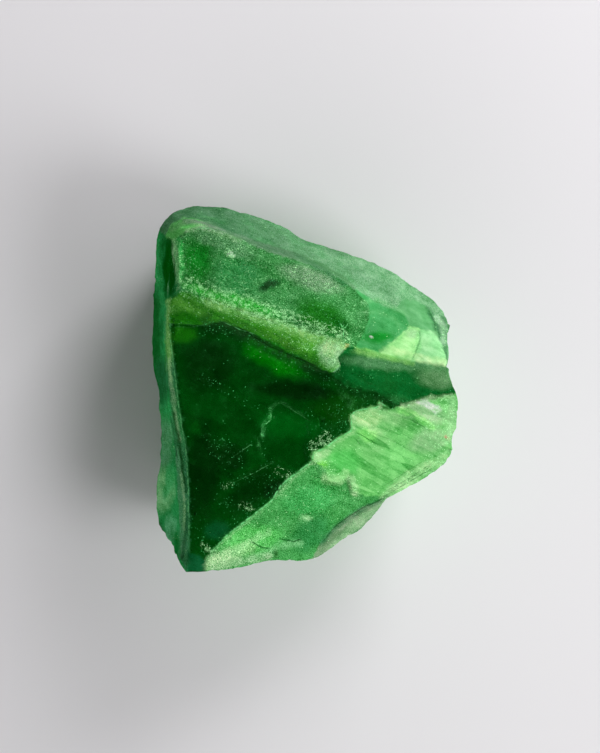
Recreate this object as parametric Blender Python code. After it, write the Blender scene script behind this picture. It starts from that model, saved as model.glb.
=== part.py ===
"""Piece of rough green jadeite, broken on every side and resting on one flat face.

The stone is one closed solid. All lengths below are millimetres: x runs across the stone,
y along it towards its wide back end, and z is the height over the face that it rests on.
The broken faces meet in creases. Each crease is a line of hand-placed points, and the faces
between them are stretched over the creases like a skin, then dished, swelled and roughened.
"""

import math
import random

import bmesh
import bpy
from mathutils import Vector, noise
from mathutils.geometry import delaunay_2d_cdt

NAME = "jadeite_stone"
MM = 0.001

# --- Mesh density and relief ----------------------------------------------------------
CREASE_STEP = 0.95          # spacing of the points along a crease
FACE_STEP = 1.05            # spacing of the points inside a face
CREASE_CLEARANCE = 0.5      # a face's own points stay this far from every crease
LONGEST_EDGE = 2.1          # longer edges on the steep walls are halved
BASE_STEP = 2.6             # spacing of the points inside the flat base
WALL_ROWS = 4               # rows of faces on each half of the lower wall
RELAX_PASSES = 260          # passes that stretch the faces over the creases
SMOOTH_PASSES = 5
SEED = 11

# Creases waver a little: (length of a waver, how far it strays)
WAVER = (1.4, 0.06)
# Unevenness of a broken surface: (size of the lumps, how far they move the skin)
ROUGHNESS = ((7.0, 0.40), (2.6, 0.20), (1.3, 0.09))
CREASE_SHARE = 0.3          # part of that move which a crease makes
BELLY_SHARE = 0.12          # part of it which the widest line makes
SCAR_RIM = 0.6              # outer part of a scar's half width over which it runs out
BASE_FADE = 1.6             # height over which the roughness fades out towards the base

# --- Corners where several creases meet -------------------------------------------------
CREST_LEFT = (-12.4, 9.8, 21.5)
CREST_RIGHT = (14.0, 2.3, 19.5)
LEFT_SHOULDER = (-13.6, 8.9, 20.6)
BAND_LEFT = (-13.8, 6.7, 20.3)
BAND_END = (10.5, -1.7, 18.7)
BAND_START = (2.9, 1.5, 20.2)
LEDGE_END = (4.1, 4.3, 22.3)
NOTCH = (5.1, 4.0, 21.6)
RIGHT_CORNER = (15.2, -0.6, 18.8)
TIP = (-10.2, -18.6, 16.3)
TIP_LEFT = (-12.1, -18.6, 16.5)
TIP_SHOULDER = (-11.8, -16.4, 17.0)
BEVEL_END = (-12.9, -17.6, 15.3)
STEP_START = (0.7, -7.4, 18.5)
FLAP_CORNER = (8.3, -11.3, 13.5)
FLAP_TIP = (1.0, -17.5, 11.5)
BACK_CORNER = (-14.0, 15.7, 14.8)
BACK_FORK = (2.0, 12.5, 15.4)
DOME_CORNER = (-11.9, 16.1, 18.5)
DOME_RIGHT = (5.2, 10.0, 17.2)
LOBE_END = (7.4, 3.5, 21.2)
KNOB = (10.6, 6.2, 17.2)
CHIP_MIDDLE = (11.4, 6.1, 16.9)
CHIP_CREST = (10.7, 2.8, 20.5)
CHIP_RIGHT = (13.4, 5.8, 15.5)
SIDE_NICK = (14.3, 4.8, 15.0)
WALL_FOOT = (-13.7, -16.4, 12.0)

# --- The widest line round the stone, clockwise from its left back corner ----------------
BELLY = [
    (-15.5, 15.4, 9.0), (-14.8, 17.0, 9.5), (-13.5, 18.3, 10.0), (-11.9, 18.8, 10.0),
    (-8.6, 18.7, 11.0), (-5.7, 18.0, 11.0), (-2.1, 16.6, 11.0), (-0.2, 15.3, 11.0),
    (4.1, 14.0, 11.0), (6.7, 13.0, 11.0), (9.0, 12.0, 11.0), (11.0, 10.5, 11.0),
    (13.2, 9.1, 11.0), (14.3, 7.8, 11.5), (14.9, 6.5, 12.5), SIDE_NICK,
    CREST_RIGHT, (14.5, 0.9, 19.3), RIGHT_CORNER, (15.4, -1.6, 18.0),
    (15.3, -4.0, 16.5), (14.7, -5.0, 16.0), (15.0, -6.2, 15.5), (14.3, -7.6, 15.0),
    (12.3, -9.1, 14.5), (9.8, -10.5, 14.0), FLAP_CORNER, (7.4, -12.8, 11.0),
    (6.0, -14.4, 10.0), (3.6, -16.0, 10.0), FLAP_TIP, (-0.6, -17.7, 12.5),
    (-3.1, -17.6, 13.5), (-4.8, -17.8, 14.2), (-6.7, -18.3, 15.0), TIP,
    TIP_LEFT, BEVEL_END, WALL_FOOT, (-14.8, -14.8, 8.5),
    (-15.3, -13.5, 7.5), (-15.6, -11.7, 7.0), (-15.5, -9.8, 7.0), (-15.0, -7.7, 7.5),
    (-14.9, -5.4, 8.0), (-15.1, -2.8, 8.0), (-15.3, -0.2, 7.5), (-15.8, 2.4, 7.0),
    (-15.9, 6.0, 7.0), (-15.8, 9.2, 7.5), (-15.6, 12.3, 8.0),
]

# --- Creases of the upper side --------------------------------------------------------------
CREASES = {
    # highest ridge, with the ledge band on its near side
    "crest": [
        CREST_LEFT, (-9.6, 8.9, 22.0), (-5.3, 7.4, 22.4), (-1.5, 6.0, 22.6), (2.2, 5.2, 22.6),
        LEDGE_END, NOTCH, LOBE_END, CHIP_CREST, CREST_RIGHT,
    ],
    "shoulder": [CREST_LEFT, (-12.9, 9.3, 21.2), LEFT_SHOULDER],
    "ledge_lip": [
        BAND_LEFT, (-11.5, 6.7, 20.9), (-9.8, 6.7, 21.3), (-8.4, 6.9, 21.5), (-5.5, 5.8, 21.6),
        (-2.7, 4.3, 21.5), (0.2, 2.8, 21.2), (1.6, 2.1, 21.1), (2.5, 1.8, 21.0),
        (3.2, 2.3, 21.2), (2.9, 3.0, 21.4), (3.2, 3.5, 21.8), LEDGE_END,
    ],
    "ledge_foot": [
        BAND_LEFT, (-11.6, 6.4, 20.6), (-9.9, 6.3, 21.0), (-8.4, 6.4, 21.1), (-5.7, 5.4, 21.0),
        (-3.0, 3.9, 20.8), (0.1, 2.4, 20.5), (1.8, 1.7, 20.3), BAND_START,
        (3.6, 2.2, 20.4), (3.3, 3.0, 20.6), (3.6, 3.4, 21.0), NOTCH,
    ],
    # large dark face: its left, its right and the band beside it
    "left_edge": [
        LEFT_SHOULDER, BAND_LEFT, (-13.5, 4.4, 20.0), (-13.1, 1.4, 19.6), (-12.8, -1.2, 19.2),
        (-12.4, -4.0, 18.8), (-12.0, -6.2, 18.4), (-11.9, -9.2, 18.0), (-11.8, -13.3, 17.4),
        TIP_SHOULDER, TIP_LEFT,
    ],
    "face_edge": [
        RIGHT_CORNER, (13.5, -1.0, 18.8), (12.1, -1.2, 18.8), BAND_END, (9.0, -2.1, 18.6),
        (7.5, -1.8, 18.7), (5.7, -2.0, 18.9), (4.6, -3.1, 18.9), (4.5, -4.3, 18.8),
        (2.9, -5.2, 18.7), (1.3, -6.7, 18.6), STEP_START, (-0.2, -8.2, 18.3),
        (-2.3, -9.8, 18.1), (-3.9, -11.9, 17.8), (-6.4, -13.5, 17.5), (-9.1, -16.6, 17.0), TIP,
    ],
    "band_foot": [BAND_START, (4.3, 0.1, 19.8), (7.1, -0.2, 19.6), (8.4, -0.9, 19.3), BAND_END],
    "tip_chip": [TIP_SHOULDER, (-11.0, -17.2, 16.9), TIP],
    # narrow frosted bevel and the wall under it, down the left side
    "left_bevel": [
        LEFT_SHOULDER, (-14.0, 6.7, 19.0), (-14.1, 4.4, 18.2), (-13.9, 1.4, 17.4),
        (-13.8, -1.2, 16.6), (-13.4, -4.0, 15.4), (-13.1, -6.3, 14.8), (-12.8, -9.4, 14.2),
        (-12.6, -12.4, 14.0), (-12.4, -15.5, 14.6), BEVEL_END,
    ],
    "wall_rib": [
        BACK_CORNER, (-14.4, 14.2, 13.0), (-14.5, 12.1, 12.6), (-14.4, 9.9, 13.0),
        (-14.5, 7.0, 12.2), (-14.8, 3.9, 11.5), (-14.6, 0.8, 11.5), (-14.4, -1.7, 11.5),
        (-14.1, -4.3, 11.0), (-13.9, -6.9, 10.5), (-14.0, -9.5, 10.0), (-13.9, -12.1, 10.0),
        (-13.4, -14.6, 11.5), WALL_FOOT,
    ],
    # domed grainy face behind the crest, and the slopes down its back
    "dome_left": [
        CREST_LEFT, (-12.7, 11.5, 20.7), (-12.8, 13.5, 19.7), (-12.7, 14.9, 18.9), DOME_CORNER,
    ],
    "dome_bevel": [
        CREST_LEFT, (-13.1, 11.7, 19.0), (-13.4, 13.5, 18.0), (-13.4, 15.0, 17.3),
        (-12.7, 16.3, 17.0), DOME_CORNER,
    ],
    "dome_back": [
        DOME_CORNER, (-10.6, 16.3, 18.5), (-8.9, 16.0, 18.4), (-6.4, 15.1, 18.2),
        (-3.9, 14.0, 18.0), (-1.3, 13.2, 17.9), (1.3, 12.3, 17.7), (3.9, 11.1, 17.4), DOME_RIGHT,
    ],
    "back_edge": [
        BACK_CORNER, (-13.6, 16.6, 15.3), (-12.3, 17.2, 15.6), (-11.0, 17.0, 16.0),
        (-9.7, 16.5, 16.2), (-7.0, 15.7, 15.8), (-3.9, 14.6, 15.4), (-0.6, 13.6, 15.2),
        BACK_FORK, (4.0, 11.3, 16.2), DOME_RIGHT,
    ],
    "back_rib": [
        BACK_FORK, (5.3, 11.9, 14.5), (8.7, 10.0, 14.0), (10.7, 9.1, 13.6), (12.6, 8.1, 13.2),
        (13.2, 6.8, 13.6), CHIP_RIGHT,
    ],
    # smooth lump right of the dome, and the two bright chips beside it
    "lobe": [
        DOME_RIGHT, (6.3, 9.0, 16.8), (7.8, 8.3, 16.4), (9.1, 7.9, 16.2), (10.2, 7.5, 16.2), KNOB,
    ],
    "lobe_valley": [DOME_RIGHT, (6.4, 8.4, 17.4), (6.6, 7.1, 18.2), (5.9, 5.4, 19.6), NOTCH],
    "chip_top": [LOBE_END, (9.2, 5.1, 19.0), KNOB, CHIP_MIDDLE, CHIP_RIGHT, SIDE_NICK],
    "chip_split": [CHIP_MIDDLE, (11.7, 5.3, 17.5), (11.3, 4.1, 18.8), CHIP_CREST],
    # bright slope on the right: a flaked step across it and the flap at its foot
    "step_lip": [
        STEP_START, (2.1, -9.2, 16.9), (3.4, -9.5, 16.3), (4.4, -8.9, 16.4),
        (4.8, -10.4, 15.5), (6.2, -11.0, 14.7), FLAP_CORNER,
    ],
    "step_foot": [
        STEP_START, (1.8, -9.5, 16.5), (3.5, -9.9, 15.8), (4.2, -9.3, 15.9),
        (4.5, -10.8, 15.0), (6.0, -11.4, 14.2), FLAP_CORNER,
    ],
    "low_flap": [FLAP_CORNER, (5.3, -12.6, 13.4), (2.9, -14.3, 12.9), FLAP_TIP],
}

# --- Ribs of the lower wall ---------------------------------------------------------------
# Each runs from a point of the belly over a waist point down to a corner of the base.
RIBS = [
    ((-15.5, 15.4, 9.0), (-15.0, 14.8, 4.6), (-13.9, 13.9, 0.0)),
    ((-11.9, 18.8, 10.0), (-11.9, 18.1, 4.8), (-11.0, 16.8, 0.0)),
    ((-2.1, 16.6, 11.0), (-2.2, 15.4, 5.2), (-1.2, 13.6, 0.0)),
    ((9.0, 12.0, 11.0), (9.5, 10.8, 5.4), (8.8, 9.0, 0.0)),
    ((14.3, 7.8, 11.5), (13.4, 7.1, 5.6), (11.5, 6.0, 0.0)),
    (CREST_RIGHT, (14.2, 2.0, 9.0), (11.9, 1.8, 0.0)),
    ((15.3, -4.0, 16.5), (13.6, -3.4, 7.4), (10.8, -2.9, 0.0)),
    (FLAP_CORNER, (8.3, -10.0, 6.4), (6.0, -8.5, 0.0)),
    (FLAP_TIP, (0.6, -15.3, 5.4), (-0.4, -12.3, 0.0)),
    ((-4.8, -17.8, 14.2), (-5.6, -15.6, 7.2), (-5.4, -13.2, 0.0)),
    (TIP_LEFT, (-11.9, -16.0, 8.0), (-9.7, -13.2, 0.0)),
    ((-15.3, -13.5, 7.5), (-14.7, -12.6, 3.6), (-13.2, -10.2, 0.0)),
    ((-14.9, -5.4, 8.0), (-15.0, -5.2, 3.8), (-14.0, -5.0, 0.0)),
    ((-15.8, 2.4, 7.0), (-15.5, 2.3, 3.4), (-14.6, 2.2, 0.0)),
    ((-15.8, 9.2, 7.5), (-15.6, 9.0, 3.6), (-14.7, 8.6, 0.0)),
]
ROUNDED_RIBS = {2, 9, 12, 13}     # places in RIBS where the wall turns without a sharp edge

# --- Dishes and swellings: (x, y), radius, depth or height ------------------------------------
HOLLOWS = [
    ((-5.0, 0.6), 9.0, -0.75),      # large dark face, dished by the blow that split it
    ((-7.5, -8.5), 5.0, -0.25),
    ((8.6, 0.9), 4.5, -0.20),
    ((1.2, -12.6), 4.0, 0.30),
    ((9.5, -5.6), 5.0, 0.30),
    ((-4.5, 11.6), 7.5, 0.55),      # domed face
    ((7.6, 6.6), 2.4, 0.45),        # lump
    ((11.0, 7.6), 2.2, 0.25),
]

# --- Flake scars of the walls: middle, side the blow came from, half width, depth -------------
SCARS = [
    ((-8.2, -16.6, 8.4), (0.15, -1.0, -0.15), 4.6, 0.75),
    ((-2.6, -15.8, 6.2), (0.1, -1.0, -0.25), 3.4, 0.55),
    ((4.6, -12.6, 5.6), (0.6, -0.8, -0.1), 4.2, 0.65),
    ((10.8, -8.4, 8.6), (0.65, -0.75, -0.1), 3.6, 0.5),
    ((13.4, -4.6, 9.6), (0.95, -0.3, -0.1), 4.0, 0.6),
    ((14.1, 0.9, 12.6), (1.0, 0.05, -0.1), 3.6, 0.6),
    ((12.6, 4.4, 5.0), (1.0, 0.15, -0.2), 3.2, 0.5),
    ((11.6, 9.4, 6.4), (0.6, 0.8, -0.1), 3.8, 0.6),
    ((4.4, 12.7, 5.4), (0.3, 1.0, 0.0), 4.4, 0.6),
    ((-6.4, 16.8, 6.0), (-0.1, 1.0, 0.0), 4.6, 0.7),
    ((-15.2, 12.2, 4.2), (-1.0, 0.1, 0.0), 3.6, 0.8),
    ((-15.4, 4.6, 3.4), (-1.0, 0.0, 0.0), 3.0, 0.7),
    ((-14.9, -2.6, 4.2), (-1.0, 0.0, 0.0), 3.4, 0.8),
    ((-14.4, -9.6, 3.4), (-1.0, -0.2, 0.0), 3.0, 0.45),
    ((-14.3, 3.4, 15.0), (-1.0, 0.0, 0.1), 3.0, 0.4),
    ((-13.6, -6.4, 12.6), (-1.0, 0.0, 0.1), 2.4, 0.3),
    ((-14.2, 11.0, 16.0), (-1.0, 0.1, 0.1), 2.4, 0.3),
]


def wavering(point):
    """The point, strayed sideways from a straight line by a small amount."""
    length, reach = WAVER
    stray = noise.noise_vector(point / length) * reach
    return point + Vector((stray.x, stray.y, 0.0))


def resampled(line, step):
    """Points along an open line of corners, no further apart than step."""
    points = [Vector(line[0])]
    for start, end in zip(line, line[1:]):
        start, end = Vector(start), Vector(end)
        pieces = max(1, round((end - start).length / step))
        points += [start.lerp(end, k / pieces) for k in range(1, pieces + 1)]
    return [wavering(p) for p in points]


def belly_ring():
    """The belly as a closed ring of points, without its repeated last point."""
    return resampled(BELLY + BELLY[:1], CREASE_STEP)[:-1]


class PlanNet:
    """Points and crease segments of the upper side, as seen from above."""

    MERGE = 0.02

    def __init__(self):
        self.points = []
        self.segments = []

    def index(self, point):
        for i, known in enumerate(self.points):
            if (known - point).length < self.MERGE:
                return i
        self.points.append(point)
        return len(self.points) - 1

    def add_line(self, points):
        ids = [self.index(p) for p in points]
        self.segments += [pair for pair in zip(ids, ids[1:]) if pair[0] != pair[1]]


def inside(point, ring):
    """True where a point lies inside a ring of points, all seen from above."""
    hit = False
    for a, b in zip(ring, ring[1:] + ring[:1]):
        if (a.y > point.y) != (b.y > point.y):
            if point.x < a.x + (point.y - a.y) * (b.x - a.x) / (b.y - a.y):
                hit = not hit
    return hit


def field_points(ring, taken, step, clearance):
    """Staggered rows of points inside a ring, clear of the points already taken."""
    rng = random.Random(SEED)
    taken = [p.to_2d() for p in taken]
    low_x, high_x = min(p.x for p in ring), max(p.x for p in ring)
    low_y, high_y = min(p.y for p in ring), max(p.y for p in ring)
    row_height = step * math.sqrt(3) / 2
    found = []
    for row in range(int((high_y - low_y) / row_height) + 1):
        for column in range(int((high_x - low_x) / step) + 1):
            x = low_x + (column + 0.5 * (row % 2)) * step + rng.uniform(-0.16, 0.16) * step
            y = low_y + row * row_height + rng.uniform(-0.16, 0.16) * step
            point = Vector((x, y))
            if inside(point, ring) and all((point - p).length > clearance for p in taken):
                found.append(point)
    return found


def triangulated(points, segments, ring):
    """Triangles over the points, seen from above, that keep every segment and fill the ring."""
    flat = [Vector(p[:2]) for p in points]
    verts, _, faces, verts_from, _, _ = delaunay_2d_cdt(flat, segments, [], 0, 1e-5, True)
    middles = [(verts[a] + verts[b] + verts[c]) / 3 for a, b, c in faces]
    kept = [face for face, middle in zip(faces, middles) if inside(middle, ring)]
    return verts, kept, verts_from


def stretched_heights(heights, fixed, faces):
    """Heights of the free points, each relaxed to the mean of its neighbours."""
    neighbours = [set() for _ in heights]
    for face in faces:
        for a, b in zip(face, face[1:] + face[:1]):
            neighbours[a].add(b)
            neighbours[b].add(a)
    free = [i for i in range(len(heights)) if not fixed[i] and neighbours[i]]
    mean = sum(h for h, held in zip(heights, fixed) if held) / max(1, sum(fixed))
    for i in free:
        heights[i] = mean
    for _ in range(RELAX_PASSES):
        for i in free:
            heights[i] = sum(heights[j] for j in neighbours[i]) / len(neighbours[i])
    return heights


def add_upper_side(bm, ring):
    """Faces from the belly up, over the net of creases. Returns crease edges and belly."""
    net = PlanNet()
    net.add_line(ring + ring[:1])
    for line in CREASES.values():
        net.add_line(resampled(line, CREASE_STEP))
    creased = len(net.points)
    flat = [p.to_2d() for p in net.points]
    flat += field_points(ring, net.points, FACE_STEP, CREASE_CLEARANCE)
    verts, faces, verts_from = triangulated(flat, net.segments, ring)
    heights = []
    fixed = []
    made_from = {}
    for i, sources in enumerate(verts_from):
        held = [s for s in sources if s < creased]
        heights.append(net.points[held[0]].z if held else 0.0)
        fixed.append(bool(held))
        made_from.update({s: i for s in sources})
    heights = stretched_heights(heights, fixed, faces)
    made = [bm.verts.new((v.x, v.y, z)) for v, z in zip(verts, heights)]
    for face in faces:
        bm.faces.new([made[i] for i in face])
    pairs = [(made[made_from[a]], made[made_from[b]]) for a, b in net.segments]
    edges = [edge for edge in map(bm.edges.get, pairs) if edge]
    return edges, [made[made_from[i]] for i in range(len(ring))]


def rib_places(ring):
    """Where each rib starts on the ring, as a place in the ring's list."""
    return [min(range(len(ring)), key=lambda i: (ring[i] - Vector(rib[0])).length) for rib in RIBS]


def wall_lines(ring):
    """For each ring point its line of points down the wall, and the rib lines' places."""
    places = rib_places(ring)
    count = len(ring)
    lines = [None] * count
    for k, start in enumerate(places):
        end = places[(k + 1) % len(places)]
        span = (end - start) % count
        for step in range(span):
            blend = step / span
            place = (start + step) % count
            waist = Vector(RIBS[k][1]).lerp(Vector(RIBS[(k + 1) % len(RIBS)][1]), blend)
            foot = Vector(RIBS[k][2]).lerp(Vector(RIBS[(k + 1) % len(RIBS)][2]), blend)
            top = ring[place]
            foot = wavering(foot)
            upper = [top.lerp(waist, j / WALL_ROWS) for j in range(1, WALL_ROWS + 1)]
            lower = [waist.lerp(foot, j / WALL_ROWS) for j in range(1, WALL_ROWS + 1)]
            lines[place] = upper + lower
    return lines, places


def add_lower_wall(bm, belly):
    """Faces from the belly down to the base. Returns rib edges and the base's ring."""
    lines, places = wall_lines([v.co.copy() for v in belly])
    columns = []
    for top, line in zip(belly, lines):
        columns.append([top] + [bm.verts.new(p) for p in line])
    count = len(columns)
    for i in range(count):
        left, right = columns[i], columns[(i + 1) % count]
        for row in range(2 * WALL_ROWS):
            bm.faces.new((left[row], left[row + 1], right[row + 1], right[row]))
    ribs = []
    for k, place in enumerate(places):
        if k not in ROUNDED_RIBS:
            column = columns[place]
            ribs += [bm.edges.get(pair) for pair in zip(column, column[1:])]
    return ribs, [column[-1] for column in columns]


def add_base(bm, foot_ring):
    """The flat face that the stone rests on. Returns its outer edges."""
    ring = [v.co.copy() for v in foot_ring]
    points = [p.to_2d() for p in ring] + field_points(ring, ring, BASE_STEP, BASE_STEP / 2)
    count = len(ring)
    segments = [(i, (i + 1) % count) for i in range(count)]
    verts, faces, verts_from = triangulated(points, segments, ring)
    made = []
    for vert, sources in zip(verts, verts_from):
        outer = [s for s in sources if s < count]
        made.append(foot_ring[outer[0]] if outer else bm.verts.new((vert.x, vert.y, 0.0)))
    for face in faces:
        bm.faces.new([made[i] for i in face])
    pairs = zip(foot_ring, foot_ring[1:] + foot_ring[:1])
    return [bm.edges.get(pair) for pair in pairs]


def halve_long_edges(bm):
    """Splits the tall faces of the steep walls until no edge is much too long."""
    for _ in range(4):
        long = [e for e in bm.edges if e.calc_length() > LONGEST_EDGE and not on_base(e)]
        if not long:
            return
        bmesh.ops.subdivide_edges(bm, edges=long, cuts=1)
        bmesh.ops.triangulate(bm, faces=bm.faces)


def on_base(edge):
    """True for an edge that lies in the base."""
    return all(abs(v.co.z) < 1e-6 for v in edge.verts)


def relax_faces(bm):
    """Evens out the faces between the creases. Creases and base stay where they are."""
    held = {v for e in bm.edges if not e.smooth for v in e.verts}
    free = [v for v in bm.verts if v not in held and v.co.z > 1e-6]
    for _ in range(SMOOTH_PASSES):
        bmesh.ops.smooth_vert(
            bm, verts=free, factor=0.5, use_axis_x=True, use_axis_y=True, use_axis_z=True)


def flip_poor_edges(bm):
    """Turns edges inside the faces so that the triangles grow plumper."""
    edges = [e for e in bm.edges if e.smooth and not on_base(e)]
    bmesh.ops.beautify_fill(bm, faces=bm.faces, edges=edges, method="ANGLE")


def move_shares(bm, belly):
    """How much of each move a point makes: all inside a face, less on a crease."""
    shares = {v: 1.0 for v in bm.verts}
    shares.update({v: CREASE_SHARE for e in bm.edges if not e.smooth for v in e.verts})
    shares.update({v: BELLY_SHARE for v in belly})
    return shares


def swell(bm, shares):
    """Dishes and domes the upper faces."""
    for vert in bm.verts:
        if vert.normal.z < 0.2:
            continue
        for centre, radius, height in HOLLOWS:
            near = (vert.co.to_2d() - Vector(centre)).length / radius
            if near < 1.0:
                vert.co.z += shares[vert] * height * (1.0 - near * near) ** 2


def strike_scars(bm, belly):
    """Presses each scar in as a shallow bowl. The widest line and the base keep their places."""
    held = set(belly)
    free = [v for v in bm.verts if v not in held and v.co.z > 1e-6]
    for middle, side, half_width, depth in SCARS:
        radius = (half_width ** 2 + depth ** 2) / (2 * depth)
        centre = Vector(middle) + Vector(side).normalized() * (radius - depth)
        for vert in free:
            away = vert.co - centre
            near = (vert.co - Vector(middle)).length / half_width
            if away.length < radius and near < 1.0:
                share = min(1.0, (1.0 - near) / SCAR_RIM)
                vert.co += away.normalized() * ((radius - away.length) * share)


def roughen(bm, shares):
    """Moves the skin in and out by three sizes of unevenness, and leaves the base flat."""
    moves = []
    for vert in bm.verts:
        fade = min(1.0, max(0.0, vert.co.z / BASE_FADE))
        move = sum(noise.noise(vert.co / size) * reach for size, reach in ROUGHNESS)
        moves.append(vert.normal * (move * fade * shares[vert]))
    for vert, move in zip(bm.verts, moves):
        vert.co += move


def stand_at_origin(bm):
    """Puts the middle of the base's surroundings at x = y = 0, in metres."""
    xs = [v.co.x for v in bm.verts]
    ys = [v.co.y for v in bm.verts]
    middle = Vector(((min(xs) + max(xs)) / 2, (min(ys) + max(ys)) / 2, 0.0))
    for vert in bm.verts:
        vert.co = (vert.co - middle) * MM


def stone_mesh():
    """The whole stone as one closed skin."""
    noise.seed_set(SEED)
    bm = bmesh.new()
    sharp, belly = add_upper_side(bm, belly_ring())
    ribs, foot_ring = add_lower_wall(bm, belly)
    sharp += ribs + add_base(bm, foot_ring)
    for edge in sharp:
        edge.smooth = False
    bmesh.ops.triangulate(bm, faces=bm.faces)
    bmesh.ops.recalc_face_normals(bm, faces=bm.faces)
    halve_long_edges(bm)
    relax_faces(bm)
    flip_poor_edges(bm)
    bm.normal_update()
    shares = move_shares(bm, belly)
    swell(bm, shares)
    strike_scars(bm, belly)
    bm.normal_update()
    roughen(bm, shares)
    stand_at_origin(bm)
    bmesh.ops.recalc_face_normals(bm, faces=bm.faces)
    mesh = bpy.data.meshes.new(NAME)
    bm.to_mesh(mesh)
    bm.free()
    return mesh


def stone_material():
    """Polished-looking green where it broke cleanly."""
    material = bpy.data.materials.new("green jadeite")
    material.use_nodes = True
    shader = material.node_tree.nodes["Principled BSDF"]
    shader.inputs["Base Color"].default_value = (0.03, 0.36, 0.09, 1.0)
    shader.inputs["Roughness"].default_value = 0.32
    shader.inputs["Metallic"].default_value = 0.0
    return material


def clear_scene():
    for item in list(bpy.data.objects):
        bpy.data.objects.remove(item, do_unlink=True)


def build():
    clear_scene()
    mesh = stone_mesh()
    mesh.materials.append(stone_material())
    stone = bpy.data.objects.new(NAME, mesh)
    bpy.context.scene.collection.objects.link(stone)


build()
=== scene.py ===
import math
import bmesh
import bpy
import numpy as np
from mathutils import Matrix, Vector, noise


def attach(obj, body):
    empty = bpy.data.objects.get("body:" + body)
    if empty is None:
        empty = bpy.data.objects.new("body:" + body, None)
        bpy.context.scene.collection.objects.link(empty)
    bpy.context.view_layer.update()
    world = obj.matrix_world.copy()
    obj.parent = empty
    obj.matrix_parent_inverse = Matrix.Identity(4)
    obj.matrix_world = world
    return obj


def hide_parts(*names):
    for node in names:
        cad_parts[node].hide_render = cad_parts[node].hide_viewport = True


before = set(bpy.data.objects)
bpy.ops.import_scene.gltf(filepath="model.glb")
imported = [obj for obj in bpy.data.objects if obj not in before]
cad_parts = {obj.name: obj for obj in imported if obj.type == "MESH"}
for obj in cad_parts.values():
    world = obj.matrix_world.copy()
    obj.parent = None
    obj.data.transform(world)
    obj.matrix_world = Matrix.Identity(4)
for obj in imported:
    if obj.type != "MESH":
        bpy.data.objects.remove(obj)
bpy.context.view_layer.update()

# Lengths are in mm, unless a comment says otherwise.
MM = 0.001
NODE = "jadeite_stone"

# ---- view and light
EYE = (-0.27, 1.10, 347)  # straight above the stone
PLAN_HEIGHT = 21  # height at which the plan is to scale
LENS = 155.86
SENSOR = 36
NEAREST = 10  # where the camera's view starts
ROOM_BRIGHT = 2.8  # brightness low on the bright side
ROOM_HEIGHT = (0.05, 0.8)  # sine of the height over which it ends
ROOM_AZIMUTH = math.radians(-60)  # where the bright side is
ROOM_TURN = (-0.9, 0.2)  # cosine to that side over which it comes in
BACK_LAMP = ((121, 210, 150), 120, 0.483)  # place, width, watts
SIDE_LAMP = ((171.5, -99, 208), 120, 0.339)
LAMP_AIM = (0, 0, 10)
FLOOR_SIZE = 3000
FLOOR_PAINT = (234, 230, 235)
FLOOR_WARM = (229, 228, 229)
FLOOR_MOTTLE = (9, 2, 0.55)  # a noise, given as those below are
FLOOR_ROUGHNESS = 0.9
FLOOR_GLOSS = 0.1

# ---- shape
WELD = 1e-7  # m, nearer vertices are one
BASE = 1e-6  # m, lower edges border the base
SOFT_EDGE = math.radians(20)  # flatter folds are rounded off
HARD_EDGE = math.radians(42)  # steeper folds stay sharp
SOFT_CREASE = 0.35  # crease of a fold just over the soft edge
LEVELS = 2  # how often each face is divided
SHARP = math.radians(38)  # steeper folds are shaded as edges
SCALLOP = ((2.6, 0.34), (1.1, 0.13))  # chips on the walls: size and depth
DISH = 1.6  # how steep the chips are
DISH_LEVEL = 0.6  # how much of it is cut into the solid
GRAIN = ((0.75, 0.05), (0.34, 0.035))  # frosted grain: size and depth
LEAST_GRAIN = 0.35  # how much of it a smooth face has
FLAKE_DEPTH = 0.14  # the flake scar on the dark face
FLAKE_CLEAR = (0.2, 0.4)  # clearness over which it comes in
NICK = 0.10  # most that a ridge is nicked
NICK_SIZE = 0.8
NICK_LEVEL = (0.1, 0.6)  # level of noise over which it deepens
NICK_RIDGE = (0.12, 0.4)  # sharpness of the ridge over which it comes in
FOOT = (0.05, 0.8)  # height over which relief comes in
CLOUD = (0.8, 2)  # how fast the octaves fade, and how much finer each is

# ---- where the paint lies
UPWARD = (-0.02, 0.14)  # rise of the normal from a wall to the upper side
RIM = (2, 5)  # height over which the upper side comes in
WALL_TURN = (-8, 10)  # from the left wall's paint to the right's
WALL_SWAY = (2, 6)  # how far that border wanders, and its bends
BACK_TURN = (-12, 13)  # from the back's left paint to its right
SKIRT_SHARE = 0.7  # how much of the back's paint the walls take
SKIRT_HEIGHT = 13
CLOUD_LEVEL = (0.08, 0.4)  # level of noise over which a cloud comes in
BACK_CLOUDS = 0.5  # strength of the clouds on the back
WANDER_SIZE = 1.6  # of the slow bends in the borders
RAGGED_SIZE = 0.5  # of the fine ones
LOOSE = 0.3  # how far blotches and dust wander
CLOSE = 0.06  # how far areas and strokes do
RAGGED = 0.1  # how far all of them are ragged
AREA_EDGE = (-0.16, -0.02)  # from an outline, where its paint comes in
BLOTCH_EDGE = (-1.35, -0.55)  # the same for a blotch, in radii
STROKE_END = 2  # half widths at which a stroke ends
STROKE_FADE = 1.3  # half widths over which it does
PATCHES = (0.6, 0.7, 0.5)  # size of the patches in a stroke, their mean and swing
LEAST_PATCH = 0.2
PALE_GREEN = 140  # a stroke paler than this stops at the dark face
DULL_SHARE = 0.8  # how opaque dust makes the surface
DULL_DUST = (0.01, 0.14)  # amount over which it does
EDGE_WEAR = 0.25  # most dust on a worn edge
WORN_RIDGE = (0.06, 0.3)  # sharpness over which wear comes in
WORN_SIZE = 1.3  # of the worn patches
WORN_CLEAR = 0.6  # how much less a clear face has
DULL_WEAR = (0.01, 0.1)  # the same for wear
LINE_TIP = (-0.02, 0.12)  # share of a line's length where it tapers
LINE_REACH = 0.6  # where its strength ends
LINE_FADE = 0.15  # over which it does
LINE_HALF = 0.05  # half width where there is no line
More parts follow.
